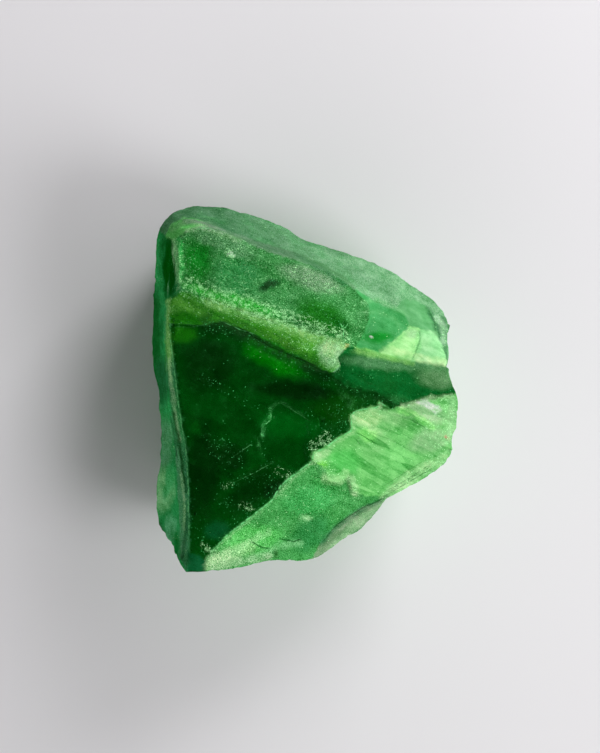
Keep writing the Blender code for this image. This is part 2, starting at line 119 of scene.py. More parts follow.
FAR = 9  # farther than any line matters
TINY = 1e-9  # keeps a length from being 0
TIE_BREAK = 0.02  # keeps to one side where two segments are equally near

# ---- material
JADE_IOR = 1.6
GLOSS = 0  # strength of the plain reflection
GLOSS_TINT = (0.2, 1, 0.3)  # what the stone leaves in it
DEPTH_COLOUR = (0.03, 0.75, 0.15)  # what is left of light inside the stone
DEPTH_DENSITY = 210  # per metre
CLEAVAGE = math.radians(-28)  # direction of the fibres in plan
FIBRE_SIZE = (3.6, 0.32, 1.1)  # long along the cleavage, thin across it
STRIP_SIZE = (4.5, 0.75, 2)
PLATE_SIZE = (3.4, 1.5, 2.4)

# Noises: cells per metre, octaves, roughness
FINE = (5200, 3, 0.65)
LUMPS = (900, 3, 0.6)
DRIFT = (380, 2, 0.55)
BROKEN = (2400, 1, 0.55)
SPARKLE = (11500, 1.5, 0.7)
THREADS = (1, 3, 0.6)  # cells per fibre size
GRIT_SCALE = 12500  # cells per metre

# How much each noise lightens and darkens the body
LUMP_CONTRAST = 0.9
DRIFT_CONTRAST = 0.4
GRAIN_CONTRAST = 1.2
SPARKLE_CONTRAST = 5
FIBRE_CONTRAST = 0.75
STRIP_CONTRAST = 0.5
PLATE_CONTRAST = 0.5
PIT_DEPTH = 0.75  # how dark the pits of the grain are
PIT_LEVEL = (0.26, 0.38)
LEAST_SHADE = 0.15
DEEPEN = (1.7, 0.8, 1.5)  # how fast red, green and blue fall where it is darker

# Veils and dust. Four values map a pair of levels to another pair.
FROST_PAINT = (130, 210, 132)
SHINE = (0.09, 0.3)  # green of the tint, from glassy to frosted
LEAST_SHINE = 0.2
PALE_SHARE = 0.4
VEIL_LEVEL = (0.52, 0.75)
VEIL_SHARE = 0.35
CRUSHED = (0.36, 0.62, 0.15, 1.3)  # how patchy the dust is
DUST_VEIL = 0.2

# Bright dots: soft clots and single sparks
SPECK_PAINT = (180, 252, 176)
DEEP_SPECK = (68, 175, 98)  # the same on the glassy face
THICK_DUST = (0.6, 0.85)
DEEP_DOTS = 0.5  # share of the dots that the glassy face has
CLUMPS = (0.42, 0.62, 0.3, 1.3)  # how clumped they are
SPECK_DENSITY = 0.4
DUST_DENSITY = 0.8
CLOT_LEVEL = 0.8  # sparkle above which there is a clot
CLOT_DROP = 0.32  # how far density lowers that level
CLOT_FADE = 0.09
CLOT_SHARE = 0.65
CLOT_TONE = (0.3, 0.65, 0.2, 1)
GRIT_SHARE = 0.3  # share of the grit that shines
SPARK_TONE = (0, 1, 0.2, 1)
SPECK_SHARE = 0.95

# Bright edges, partly pale rims and partly painted glints of light, and dark cracks
LINE_WAVER = 0.12
LINE_EDGE = (0.5, 1.5, 1, 0)  # half widths over which a line ends
GLINT_PAINT = (110, 205, 125)
GLINT_BREAKS = (0.42, 0.58, 0.15, 1)
CRACK_TONE = (0.06, 0.25, 0.12)  # what a crack leaves of each colour
CRACK_BREAKS = (0.4, 0.55, 0.4, 1)

# Roughness, clearness and bumps
DUST_HAZE = 0.2
HAZE_ROUGHNESS = 0.55
LUMP_ROUGHNESS = 0.25
LEAST_ROUGHNESS = 0.06
BUMP_DEPTH = 0.05
BUMP_STRENGTH = 0.8
LEAST_FINE = 0.08  # height of the fine noise on a smooth face
SPARKLE_HEIGHT = 0.8
THREAD_HEIGHT = 1.6
STRIP_HEIGHT = 0.8
LUMP_HEIGHT = 0.5
CRACK_HEIGHT = 1.2

# Tones of the stone, dark to pale
INK = (1, 6, 2)
SOOT = (2, 30, 2)
PINE = (1, 50, 2)
FOREST = (8, 68, 16)
BOTTLE = (2, 82, 10)
SHADE = (22, 86, 42)
IVY = (32, 86, 28)
FERN = (12, 101, 2)
DUSTY = (42, 102, 60)
GRASS = (4, 114, 20)
TEAL = (20, 125, 66)
EMERALD = (5, 128, 42)
HOLLY = (40, 130, 60)
ASH = (106, 118, 110)
MALACHITE = (1, 138, 30)
MOSS = (62, 140, 40)
SAGE = (76, 140, 84)
THYME = (76, 149, 95)
JADE = (56, 160, 74)
WILLOW = (104, 152, 106)
LIME = (38, 163, 20)
OLIVE = (77, 166, 48)
KELLY = (42, 170, 45)
SEA = (58, 174, 95)
VIVID = (1, 180, 2)
BRIGHT = (80, 186, 84)
PALE = (138, 190, 130)
MINT = (118, 196, 124)
APPLE = (108, 200, 104)
AQUA = (110, 204, 143)
LICHEN = (150, 200, 144)
LEAF = (124, 208, 106)
CELERY = (136, 206, 112)
FOAM = (150, 217, 144)
LEMON = (125, 225, 82)
MEADOW = (150, 220, 110)
BUD = (163, 220, 138)
CREAM = (166, 222, 150)
CAMEO = (178, 220, 180)
FROST = (184, 228, 166)
SPRING = (148, 240, 122)
PEAK = (199, 235, 163)
CHALK = (228, 234, 228)
WHITE = (247, 247, 247)

# Small spots of other colours
BARK = (32, 8, 6)
ROSE = (193, 20, 60)
OCHRE = (168, 118, 56)
STRAW = (152, 153, 77)

# Each finish is its paint, roughness, clearness, grain, fibre and specks.
WALL_LEFT = ((28, 122, 56), 0.38, 0.14, 0.35, 0.9, 0.05)
WALL_RIGHT = ((84, 172, 98), 0.36, 0.14, 0.35, 0.9, 0.05)
WALL_CLOUDS = (  # size, shift, paint, share
    (3.2, 1.0, (10, 90, 40), 0.4),
    (2.4, 6.0, (84, 176, 100), 0.35),
    (1.1, 2.0, (126, 202, 130), 0.15),
)
BACK_LEFT = ((72, 128, 84), 0.6, 0.05, 0.5, 0.4, 0.1)
BACK_RIGHT = ((118, 176, 125), 0.6, 0.05, 0.5, 0.3, 0.1)
AREA_FINISH = {
    "high_slope": ((100, 145, 105), 0.5, 0.1, 0.5, 0.6, 0.1),
    "dome": ((50, 130, 60), 0.45, 0.08, 1.0, 0.7, 0.6),
    "frost_strip": ((55, 170, 75), 0.6, 0.1, 0.9, 0.3, 0.4),
    "left_wall": ((40, 150, 75), 0.7, 0.0, 0.6, 0.4, 0.1),
    "olive_cap": ((90, 190, 90), 0.5, 0.1, 0.6, 0.4, 0.2),
    "lobe": ((70, 165, 90), 0.4, 0.12, 0.2, 0.4, 0.1),
    "bulge": ((95, 170, 105), 0.4, 0.1, 0.1, 0.2, 0.0),
    "right_strip": ((70, 130, 80), 0.5, 0.1, 0.3, 0.2, 0.0),
    "left_chip": ((160, 230, 145), 0.45, 0.1, 0.1, 0.3, 0.1),
    "right_chip": ((145, 215, 145), 0.45, 0.1, 0.1, 0.4, 0.1),
    "ledge_band": ((50, 145, 25), 0.4, 0.12, 0.6, 0.7, 0.3),
    "right_band": ((5, 100, 35), 0.4, 0.2, 0.4, 0.5, 0.15),
    "bright_slope": ((105, 190, 100), 0.45, 0.1, 0.2, 1.0, 0.2),
    "low_slope": ((60, 150, 70), 0.5, 0.1, 0.95, 0.5, 0.06),
    "flap": ((110, 145, 105), 0.5, 0.1, 0.5, 0.4, 0.2),
    "dark_face": ((1, 95, 15), 0.26, 0.6, 0.25, 0.15, 0.06),
    "left_bevel": ((50, 130, 75), 0.55, 0.08, 0.8, 0.3, 0.3),
    "tip_facet": ((10, 90, 45), 0.35, 0.2, 0.4, 0.2, 0.2),
}

# Creases that two faces or a face and a line share, in plan
BROKEN_EDGE = [  # dark face and bright slope, down to the step
    (9.1, -3.3), (8.3, -2.8), (7.9, -2.6), (7.8, -3.1), (5.6, -3.4), (5.1, -3.9), (5.2, -5.4),
    (3.5, -6.4), (2.5, -7.2), (1.4, -7.6), (1.2, -8.5),
]
LOW_EDGE = [  # dark face and low slope, down to the tip
    (-0.3, -9.6), (-1.9, -10.9), (-2.8, -12.4), (-5, -14.1), (-7.2, -15.8), (-9, -17.7),
]
STEP = [  # bright slope and low slope
    (2.5, -9), (2.7, -10.6), (4, -10.7), (4.9, -10.1), (5.1, -11.4), (6.6, -12.1),
]
UNDERCUT = [(6.4, -13.1), (5, -14), (3.4, -15.2), (2.2, -16.7)]  # low slope and flap
BAND_EDGE = [(14, -2.3), (12.1, -2.5), (11.4, -2.9)]  # right band and bright slope
CREST = [(-10, 8), (-7.8, 7.2), (-5, 6.2), (-2.5, 5.3), (0, 4.6), (2.5, 4)]  # ledge band and dome
DOME_BACK = [  # dome and high slope
    (-11.3, 14.7), (-10, 15), (-8.3, 14.6), (-5.8, 13.7), (-3.3, 12.6), (-0.7, 11.8),
    (1.8, 10.9), (4.4, 9.7), (5.7, 8.6),
]
LOBE_EDGE = [(6.9, 7.2), (7.1, 5.8), (6.6, 4.4), (5.7, 2.9)]  # dome and lobe
BEVEL_EDGE = [  # left bevel and the glint along it
    (-12.9, 3.1), (-12.5, 0.1), (-12.2, -2.4), (-11.8, -5.2), (-11.4, -7.4), (-11.2, -10.4),
]

# Faces of the upper side, in plan
AREAS = {
    "dark_face": [
        (-13.1, 5.5), (-9.3, 5.5), (-7.8, 5.7), (-5.1, 4.6), (-2.4, 3.2), (0.6, 1.8), (2.3, 1),
        (3.4, 0.4), (4.8, -1), (7.6, -1.4), (8.8, -2.1), (10, -2.9), *BROKEN_EDGE, *LOW_EDGE,
        (-9.6, -18.9), (-9.5, -19.6), (-11.4, -19.6), (-11.2, -17.4), (-11.3, -14.4), (-11.4, -10.4),
        (-11.6, -7.4), (-12, -5.2), (-12.4, -2.4), (-12.7, 0.1), (-12.9, 3.1),
    ],
    "ledge_band": [
        (-13.1, 7.8), (-12.4, 8.2), (-11.9, 8.6), *CREST, (4.8, 3.2), (3.9, 2.3), (3.6, 1.8),
        (3.9, 1.1), (3.1, 0.5), (2.2, 0.8), (0.8, 1.6), (-2.2, 3.1), (-5, 4.5), (-7.8, 5.6),
        (-9.3, 5.3), (-11, 5.3), (-13.2, 5.4),
    ],
    "right_band": [
        (3.8, 2), (4.7, 2.9), (5.7, 2.9), (8.1, 2.3), (11.2, 1.5), (14.6, 1.1), (15, -0.1),
        (15.8, -1.8), *BAND_EDGE, (10, -2.9), (8.8, -2.1), (7.6, -1.4), (4.8, -1), (3.4, 0.2), (4.1, 1),
    ],
    "bright_slope": [
        (16, -1.8), *BAND_EDGE, (9.9, -3.1), *BROKEN_EDGE, *STEP, (8.8, -12.3), (10.2, -11.6),
        (12.2, -10.4), (13.8, -9.1), (15.2, -7.7), (15.5, -6.9), (15.1, -6.1), (15.7, -5.2), (16, -2.9),
    ],
    "low_slope": [
        (1.2, -8.5), *STEP, (8.8, -12), *UNDERCUT, (1.4, -18.2), (0, -18.7), (-2.5, -18.5), (-6, -19.4),
        (-9.6, -19.7), (-9.6, -18.9), *LOW_EDGE[::-1],
    ],
    "flap": [
        (9, -12), *UNDERCUT, (1.2, -18.4), (3.2, -18), (5.2, -16.8), (6.8, -15.2), (8, -13.4),
    ],
    "dome": [
        (-11.9, 8.6), (-12.1, 10.1), (-11.8, 11.4), (-12, 14), *DOME_BACK, *LOBE_EDGE, (4.7, 3.2),
        *CREST[::-1],
    ],
    "high_slope": [
        (-12, 14.5), (-11.6, 15.7), (-10.3, 15.6), (-9, 15.1), (-6.3, 14.2), (-3.3, 13.1), (0, 12.1),
        (2.5, 11.1), (4.5, 9.9), *DOME_BACK[::-1],
    ],
    "lobe": [
        (5.7, 8.6), (6.9, 7.7), (8.2, 7), (9.5, 6.7), (10.6, 6.2), (10.9, 5.2), (10.5, 4.5), (9.7, 3.8),
        (8.1, 2.3), *LOBE_EDGE[::-1],
    ],
    "bulge": [
        (9.8, 7), (10.4, 7.6), (11.7, 7.5), (12.8, 6.8), (13.4, 5.6), (13.7, 4.5), (12.1, 4.7),
        (11.1, 5), (10.8, 5.9),
    ],
    "left_chip": [
        (8.1, 2.3), (10.5, 4.5), (11.1, 4.9), (11.9, 4.8), (12.1, 4), (11.8, 2.8), (11.2, 1.5),
    ],
    "right_chip": [
        (12.1, 4.6), (13.7, 4.5), (14.3, 3.1), (14.7, 1.1), (11.2, 1.5), (11.8, 2.8),
    ],
    "right_strip": [
        (13.7, 4.5), (14.1, 6), (15.2, 5.8), (15, 3.1), (14.9, 1), (14.3, 3.1),
    ],
    "left_bevel": [
        (-13.1, 7.8), (-13.2, 5.4), *BEVEL_EDGE, (-11.1, -14.4), (-11.1, -17.4), (-11.3, -19.4),
        (-12.1, -18.6), (-11.9, -16.4), (-12.1, -13.4), (-12.3, -10.4), (-12.5, -7.4), (-12.8, -5.2),
        (-13.2, -2.4), (-13.4, 0.1), (-13.4, 3.1), (-13.3, 5.4), (-13.2, 6.6),
    ],
    "frost_strip": [
        (-12.3, 14), (-12.8, 13.6), (-12.7, 12.1), (-12.4, 10.4), (-12, 9.1), (-11.6, 11.4),
        (-11.8, 13.6),
    ],
    "left_wall": [
        (-17, 16), (-14.2, 14.6), (-13.4, 13.9), (-12.8, 13.6), (-12.7, 12), (-12.3, 10.1),
        (-11.9, 8.6), (-12.8, 7.9), (-13.2, 7.6), (-13.5, 5.4), (-13.5, 3.1), (-13.4, 0.1),
        (-13.1, -2.4), (-12.8, -5.2), (-12.5, -7.4), (-12.4, -10.4), (-12.2, -13.4), (-12, -16.4),
        (-12.1, -18), (-11.4, -19.7), (-14, -21), (-17, -21),
    ],
    "olive_cap": [
        (-13.4, 14), (-12.9, 15.1), (-11.6, 15.8), (-10.3, 15.7), (-9.2, 15.1), (-10.4, 15),
        (-11.4, 14.7), (-12.1, 14.1), (-12.7, 13.6),
    ],
    "tip_facet": [
        (-11.3, -19.5), (-11.1, -17.6), (-10.3, -17.9), (-9.4, -18.6), (-9.5, -19.5),
    ],
    "flake": [
        (-4.4, -6.1), (-3.8, -6.3), (-3.7, -4.8), (-2.9, -4.2), (-3, -3.2), (-2, -2.6), (-0.7, -3.4),
        (1.3, -4.4), (3.3, -4.4), (3.8, -5.6), (1.8, -7.6), (0, -9), (-2, -9.4), (-3.8, -7.9),
    ],
}

# Soft patches of paint on each face, among them painted glow and shade in the dark face and painted
# shade in the groove of the left wall: place, radii, turn in degrees, paint, strength
BLOTCHES = {
    "dark_face": [
        # painted inner glow: the bright green patches stand for light that comes up through the stone,
        # the dark ones are painted shade where less of it comes
        (-2.5, 2, 3.2, 1.5, -28, VIVID, 0.95),
        (-11.8, 4.2, 1.4, 0.8, 0, LIME, 0.9),
        (-9.4, 4.4, 1.3, 0.6, 0, BOTTLE, 0.85),
        (-9.3, 1.1, 2.8, 2.8, 0, PINE, 0.7),
        (-0.3, -1.4, 5, 0.9, -5, PINE, 0.85),
        # a small black spot in the stone itself
        (-10.5, -13.8, 0.14, 0.14, 0, INK, 1),
        (-9.7, -9.4, 1.5, 5, 0, SOOT, 0.6),
        (-5, -11.4, 2.8, 1.4, 40, PINE, 0.6),
        (-2.5, -11.3, 1.2, 0.9, 20, INK, 0.6),
        (-8.3, -15.4, 1.3, 1, 0, TEAL, 0.6),
        (3.8, -3.2, 2.6, 1.6, 0, FERN, 0.7),
        (-10.3, -5, 0.5, 0.7, 0, GRASS, 0.7),
        (-7.1, -8.3, 1.8, 1.6, 0, SOOT, 0.5),
        (-1, -4.9, 3, 1.4, -10, MALACHITE, 0.6),
    ],
    "ledge_band": [
        (-11.4, 6.8, 2.4, 1.4, -5, MOSS, 1),
        (-11.2, 5.8, 2.6, 0.7, -4, FERN, 0.9),
        (-0.5, 3.8, 2.8, 1.2, -25, OLIVE, 0.9),
        (3.3, 2.2, 1.5, 1.2, -30, LICHEN, 0.95),
        (2.9, 2.5, 0.7, 0.5, -30, BUD, 0.7),
        (4.7, 3, 0.4, 0.3, 0, STRAW, 0.8),
    ],
    "right_band": [
        (9.5, 1.3, 5.2, 0.7, -5, SAGE, 0.95),
        (7.8, 2.2, 2.4, 0.4, -8, LEAF, 0.6),
        (9.1, -2.4, 1.4, 0.6, 0, HOLLY, 0.9),
        (13.8, -0.2, 2.2, 1, -10, PALE, 0.35),
    ],
    "bright_slope": [
        (7.8, -4.5, 2.6, 1.2, 0, CREAM, 0.8),
        (12.5, -3.7, 2.4, 0.9, -12, PALE, 0.9),
        (4.5, -8.5, 1.8, 1.4, 0, BRIGHT, 0.9),
        (9.2, -8.4, 3, 1.4, 25, APPLE, 0.8),
        (13, -6.4, 2, 1.2, 20, PALE, 0.8),
        (11.2, -10, 3.2, 0.6, 35, CREAM, 0.8),
        (6.8, -4.2, 1.6, 0.8, 0, PEAK, 0.6),
        (8.5, -2.9, 0.8, 0.4, -10, BOTTLE, 0.8),
        (9.3, -5.4, 2, 0.7, -15, APPLE, 0.6),
        (6.8, -5.8, 0.9, 0.6, 0, SPRING, 0.6),
        (2.1, -9, 0.6, 0.4, 0, LEMON, 0.7),
        (1, -9.3, 0.3, 0.25, 0, OCHRE, 0.9),
        (14.8, -6.1, 0.2, 0.2, 0, ROSE, 0.8),
        (15.1, -7.4, 0.2, 0.15, 0, BARK, 0.8),
    ],
    "low_slope": [
        (1, -12.4, 2.8, 1.6, 20, JADE, 0.9),
        (-4.8, -16.4, 3, 1.4, 12, BRIGHT, 0.9),
        (1.2, -15.7, 2.2, 1.6, 40, HOLLY, 0.9),
        (-7.8, -18.2, 2, 0.8, 25, PALE, 0.9),
        (-2.5, -17.6, 0.3, 0.6, 0, IVY, 0.7),
        (0.7, -14.1, 0.5, 0.25, -20, FOAM, 0.6),
    ],
    "dome": [
        (-10.3, 11.4, 1.4, 2.4, 0, GRASS, 0.9),
        (-6.3, 10, 2.4, 2, -20, HOLLY, 0.8),
        (-7.5, 13.3, 3.4, 0.9, -20, SAGE, 0.9),
        (2.2, 6, 2.8, 1.6, -25, FERN, 0.85),
        (1.2, 9.7, 3.4, 1, -20, WILLOW, 0.9),
        (-6.8, 7.6, 5, 0.6, -17, KELLY, 0.8),
        (-3.1, 9.1, 1.2, 0.45, 24, INK, 0.8),
        (-7, 12.3, 0.3, 0.2, -20, CAMEO, 0.7),
        (4.2, 4.7, 0.9, 1.2, 0, BOTTLE, 0.6),
    ],
    "high_slope": [
        (-9.2, 15.7, 3, 0.8, -8, ASH, 0.9),
        (2.5, 10.8, 3.6, 1, -22, SAGE, 0.8),
    ],
    "lobe": [
        (7.8, 3.9, 1.4, 0.6, 0, MALACHITE, 0.9),
        (7.2, 3.9, 0.16, 0.16, 0, WHITE, 0.9),
    ],
    "left_chip": [
        (11.3, 4.3, 0.9, 0.5, 0, LICHEN, 0.7),
    ],
    "right_chip": [
        (12.6, 3.2, 0.5, 0.7, 0, FOAM, 0.5),
        (11.5, 3.9, 0.6, 1, 0, FOAM, 0.9),
    ],
    "left_wall": [
        # painted shade in the groove between the outer strip and the frost strip
        (-13.1, 11, 0.8, 3.6, 3, BOTTLE, 1),
        (-14.6, 4.5, 0.8, 4.5, 0, BOTTLE, 0.8),
        (-13.9, -0.5, 0.8, 2.5, 0, SHADE, 0.8),
        (-13.6, -7, 0.9, 2.8, 0, THYME, 0.9),
        (-13.9, -11.3, 1.2, 2.2, 0, MINT, 0.9),
        (-13.2, -10.6, 0.5, 1.8, -8, SEA, 0.8),
        (-12.9, -15.4, 0.5, 1.4, 0, AQUA, 0.8),
        (-12.5, -16.6, 0.5, 1.6, 12, EMERALD, 0.7),
    ],
    "left_bevel": [
        (-13.2, 4.1, 0.6, 3.2, 0, OLIVE, 0.6),
        (-12.1, -3.4, 0.7, 3.6, 5, HOLLY, 0.7),
    ],
}

# Soft strokes of paint, among them painted shade and a painted glow along the ledge band: half width,
# paint, strength, points of the line
STROKES = [
    # painted shade at the foot of the ledge band, on the dark face below it
    (0.45, FOREST, 0.9, (-9.3, 5), (-7.8, 5), (-5.1, 3.9), (-2.4, 2.5), (0.6, 1), (2.5, 0.2)),
    # painted shade on the lower part of the ledge band, away from the glow at its crest
    (0.5, IVY, 0.65, (-9.5, 5.8), (-7.8, 5.8), (-5, 4.6), (-2, 3), (1.6, 1.2)),
    # painted glow along the crest of the ledge band, standing for light that comes through the crest
    (0.36, CELERY, 0.7, (-9.1, 7.4), (-5, 6.1), (0, 4.4), (4, 3.1)),
    # painted shade at the foot of the right band
    (0.4, FOREST, 0.8, (3.6, 0), (5.2, -1.4), (7.8, -1.9), (10, -2.6)),
    (0.12, CELERY, 0.7, (-13.2, 7.6), (-13.2, 3.6), (-12.9, -0.4)),
    (0.14, LICHEN, 0.6, (-13, 1.6), (-12.8, -1.4), (-12.3, -4.4), (-12, -6.4)),
    (0.26, THYME, 0.75, (-12.2, -7.4), (-11.9, -10.4), (-11.7, -14.4), (-11.8, -17.9)),
    (0.08, PALE, 0.6, (-11.9, -9.4), (-11.6, -12.4), (-11.6, -15.4)),
    (
        0.16, PINE, 0.6,
        (-12.7, 5.6), (-12.6, 2.6), (-12.2, -1.4), (-11.5, -5.4), (-11, -9.4), (-10.8, -14.4),
    ),
    (0.22, FROST, 0.7, (5.2, -4.5), (5.7, -3.4), (7.9, -3)),
    (0.2, FROST, 0.6, (10.2, -3), (11.2, -2.8), (13, -2.2), (15.2, -2)),
    (0.24, SPRING, 0.75, (10, -3.4), (11.4, -3.7), (13.2, -5.1)),
    (0.3, CREAM, 0.7, (8.4, -12.1), (10.8, -10.7), (13.4, -9), (14.9, -7.6)),
    (0.12, CHALK, 0.8, (11.9, -2.6), (13.2, -3.2)),
    (0.12, CHALK, 0.9, (12.3, -2.45), (13.9, -3.2)),
    (0.1, CHALK, 0.7, (12.7, -3.1), (13.7, -3.6)),
    (0.3, LICHEN, 0.6, (15.2, -2.4), (15.3, -4.9), (14.9, -6.4)),
    (0.3, FROST, 0.6, (1.2, -8.4), (2.6, -7.6), (3.3, -6.4), (5.2, -5.4)),
    (0.35, CREAM, 0.7, (2.6, -10.2), (3.8, -10.4), (4.6, -9.8)),
    (0.3, FROST, 0.7, (5.1, -10.2), (5.5, -11.6)),
    (0.1, FOAM, 0.4, (-9, -17.6), (-6.8, -15.8), (-3.8, -13.4), (-1.5, -11), (0.8, -9)),
    (0.5, CREAM, 0.55, (-9.2, -18.6), (-7.2, -18), (-5, -17)),
    (0.2, DUSTY, 0.8, (8.8, -12.1), (6.5, -13.1), (5, -14), (3.4, -15.2), (2.2, -16.7)),
    (0.25, FOAM, 0.6, (-6.5, -17.6), (-4.5, -16.2), (-3.2, -15.6)),
    (0.25, MINT, 0.6, (-4.8, -18.2), (-2.2, -17), (0, -16.6)),
    (0.3, LICHEN, 0.6, (-8.6, -19), (-5.6, -18.4), (-3.2, -18)),
    (0.1, FOREST, 0.9, (-12.6, -3.6), (-12.1, -7), (-11.5, -10.6)),
    (0.07, FOREST, 0.85, (-12.2, -5.4), (-11.8, -8.2), (-11.4, -11.6)),
    (0.07, SHADE, 0.7, (-12.9, -4), (-12.6, -6), (-12.3, -8)),
    (0.1, SHADE, 0.85, (-11.2, -13.6), (-11.5, -16), (-11.8, -18.2)),
    (0.3, LICHEN, 0.6, (8.4, -12.9), (6.4, -14.2), (4.8, -15.6), (3.2, -17.2)),
    (0.16, APPLE, 0.5, (8.2, 2.3), (9.6, 3.4), (10.8, 4.6)),
    (0.18, MEADOW, 0.6, (5.7, 2.7), (8.2, 2.1), (11.2, 1.3)),
    (0.2, APPLE, 0.6, (11.8, 4.2), (11.9, 3), (11.4, 1.8)),
    (0.25, PEAK, 0.6, (8.3, 2.5), (9.4, 2.6), (11, 2.1)),
    (0.3, PEAK, 0.6, (11.7, 1.9), (13, 1.6), (14.4, 1.4)),
    (0.22, DUSTY, 0.8, (12.8, 6.8), (13.4, 5.6), (13.7, 4.4)),
    (0.25, CAMEO, 0.5, (13.7, 5.8), (14.4, 5), (14.4, 3.4)),
    (0.18, DUSTY, 0.55, (-8.5, 15.3), (-6, 14), (-3.2, 12.9), (0, 11.9), (4.5, 9.2)),
    (0.25, WILLOW, 0.5, (-12.8, 14.8), (-11.6, 15.5), (-10, 15.4), (-8.5, 15)),
    (0.18, LICHEN, 0.5, (-11.3, 14.6), (-10, 14.9), (-8.4, 14.5), (-6, 13.6)),
    (0.18, LICHEN, 0.5, (-12.6, 13.4), (-12.4, 11.4), (-12.1, 9.4)),
    (0.15, MINT, 0.5, (6.2, 7.4), (7.8, 7.6), (9.4, 6.9), (10.5, 6.3)),
    (0.15, MINT, 0.4, (5.9, 6.3), (7.8, 6.5), (9.5, 5.7), (10.1, 4.8)),
]
# Where the surface is crushed to a pale dust: half width, strength, points
DUST = [
    (0.9, 0.9, (-11.4, 9.3), (-9, 8.4), (-5, 7), (0, 5.3), (4.2, 3.8)),
    (0.9, 0.6, (-11.6, 11.4), (-11, 9.8), (-9.5, 8.8)),
    (1, 0.45, (-7.5, 9.1), (-4, 8), (-1, 7)),
    (0.8, 0.45, (-4.2, 9.2), (-1, 8.4), (2.5, 7.6)),
    (0.5, 0.25, (-10, 14.4), (-6, 13.1), (-2, 11.4), (2, 9.6)),
    (0.2, 1, (-7.4, 12.4), (-6.7, 12.1)),
    (0.6, 0.45, (3, 8.4), (5, 6.8), (5.6, 4.6)),
    (0.7, 0.7, (2.2, 2.9), (3.6, 2.4), (3.8, 1), (2.8, 1.2)),
    (0.55, 0.45, (-9.6, 5), (-7, 4.4), (-3.8, 3), (0, 1.2), (3, -0.1)),
    (0.6, 0.4, (-2, 4.6), (1.5, 3)),
    (0.5, 0.55, (4, -0.2), (6.6, -2.2), (9.5, -2.6)),
    (0.5, 0.45, (5.2, 1.4), (6.8, 0.4)),
    (0.4, 0.4, (-9.5, -0.2), (-8.1, -1), (-6.9, -1.8)),
    (0.2, 0.4, (-6.7, -1.8), (-5, -2.8), (-3.5, -3.6)),
    (0.4, 0.35, (1.1, -3.4), (1.3, -6.2)),
    (0.7, 0.6, (3.4, -3.2), (4.2, -4.4), (3.2, -5.6)),
    (0.6, 0.95, (1.4, -7), (2.6, -6.2)),
    (0.25, 0.4, (-9.5, -5.8), (-7.1, -7.2)),
    (0.8, 0.55, (-8.2, -7), (-6.8, -8.2)),
    (0.25, 0.45, (-6.7, -8), (-4.7, -6.7)),
    (0.35, 0.55, (-7.7, -11.2), (-6.9, -10.7), (-4.5, -9.6), (-2.7, -8.6)),
    (0.4, 0.8, (-7.6, -11), (-7, -10.8)),
    (0.5, 0.9, (-2.5, -9.3), (-1.2, -10.1)),
    (0.6, 0.5, (-3.4, -10.6), (-2, -11.4)),
    (0.4, 0.9, (-5.8, -12.8), (-5, -13.2)),
    (0.7, 0.35, (-8, -12.2), (-6.6, -13.4)),
    (0.3, 1.2, (-9.7, -16.9), (-9, -17.5)),
    (0.6, 0.25, (-11, -12.4), (-10.4, -15.4), (-9.6, -16.9)),
    (0.5, 0.35, (-6.2, -14.4), (-3.8, -12.4), (-2, -11)),
    (0.4, 0.5, (10, -2.8), (13, -2.4), (15.2, -2.2)),
    (0.8, 0.75, (14.6, -2.6), (15.2, -4.9), (14.9, -7.4), (12.5, -9.8), (9.2, -12)),
    (0.9, 0.5, (12.6, -5), (14, -6.4)),
    (0.5, 0.55, (5.8, -3.6), (8, -3.3)),
    (0.5, 0.6, (1.6, -8.2), (2.6, -9.2), (4, -10.2)),
    (0.4, 0.7, (5.2, -10.4), (5.6, -11.8)),
    (1.2, 0.12, (0, -11.9), (3, -12.4), (4.5, -13.6)),
    (0.3, 0.9, (0.3, -14.2), (1.1, -14.2)),
    (0.8, 0.2, (-6, -14.9), (-3, -14.4), (-0.5, -14.9)),
    (0.7, 0.5, (-8.8, -18), (-6, -16.9), (-3.8, -16.4)),
    (0.3, 0.3, (-13, 7.1), (-13, 2.6), (-12.5, -2.4), (-11.7, -7.4), (-11.4, -14.4)),
    (0.3, 0.5, (11, 4.6), (11.9, 4.3), (11.8, 3.1)),
    (0.5, 0.5, (13.9, 5.4), (14.6, 4.6), (14.5, 3)),
    (0.3, 0.6, (-12.6, 13.4), (-12.2, 9.6)),
]
# Dark cracks, the same way
FISSURES = [
    (0.04, 0.7, (-8.7, 6.3), (-6.4, 5.1), (-3, 3), (1.8, 1)),
    (0.03, 0.4, (-7.8, 6.7), (-4.8, 5.5), (-0.8, 3.3)),
    (0.04, 0.75, (5.5, -5.5), (7.8, -6.8)),
    (0.03, 0.6, (5.5, -6.2), (6.2, -7)),
    (0.07, 0.45, (9.2, -3.7), (11.2, -4.4), (13.2, -5.5)),
    (0.05, 0.7, (8, -12.2), (10.8, -10.6), (13.5, -9)),
    (0.04, 0.6, (8.4, -11.6), (11, -10.1), (13.2, -8.7)),
    (0.03, 0.45, (7.8, -11.3), (10.2, -9.8), (12.4, -8.4)),
    (0.07, 0.7, (8.8, -12), (6.5, -13), (5, -13.9), (3.4, -15.1), (2.2, -16.6)),
    (0.08, 0.9, (-4.9, -16.5), (-3.8, -17.1), (-3, -17.2)),
    (0.07, 0.9, (-2.2, -16.2), (-0.6, -16.5), (0.2, -16.2)),
    (0.04, 0.5, (-7.2, -17.2), (-7, -16.5), (-6.9, -15.9)),
    (0.03, 0.4, (0, -13.9), (2.5, -13.2), (4.2, -12.4)),
    (0.07, 0.6, (12.8, 6.7), (13.4, 5.6), (13.6, 4.5)),
    (0.09, 0.5, (11.2, 1.6), (11.6, 2.6), (12.05, 3.8), (11.9, 4.7)),
    (0.03, 0.4, (6.6, -5.4), (9.2, -6.4), (12, -7.9)),
    (0.03, 0.35, (10, -5.6), (12.5, -7)),
    (0.03, 0.3, (4, -7.6), (5.2, -8.6), (6.6, -9.4)),
]
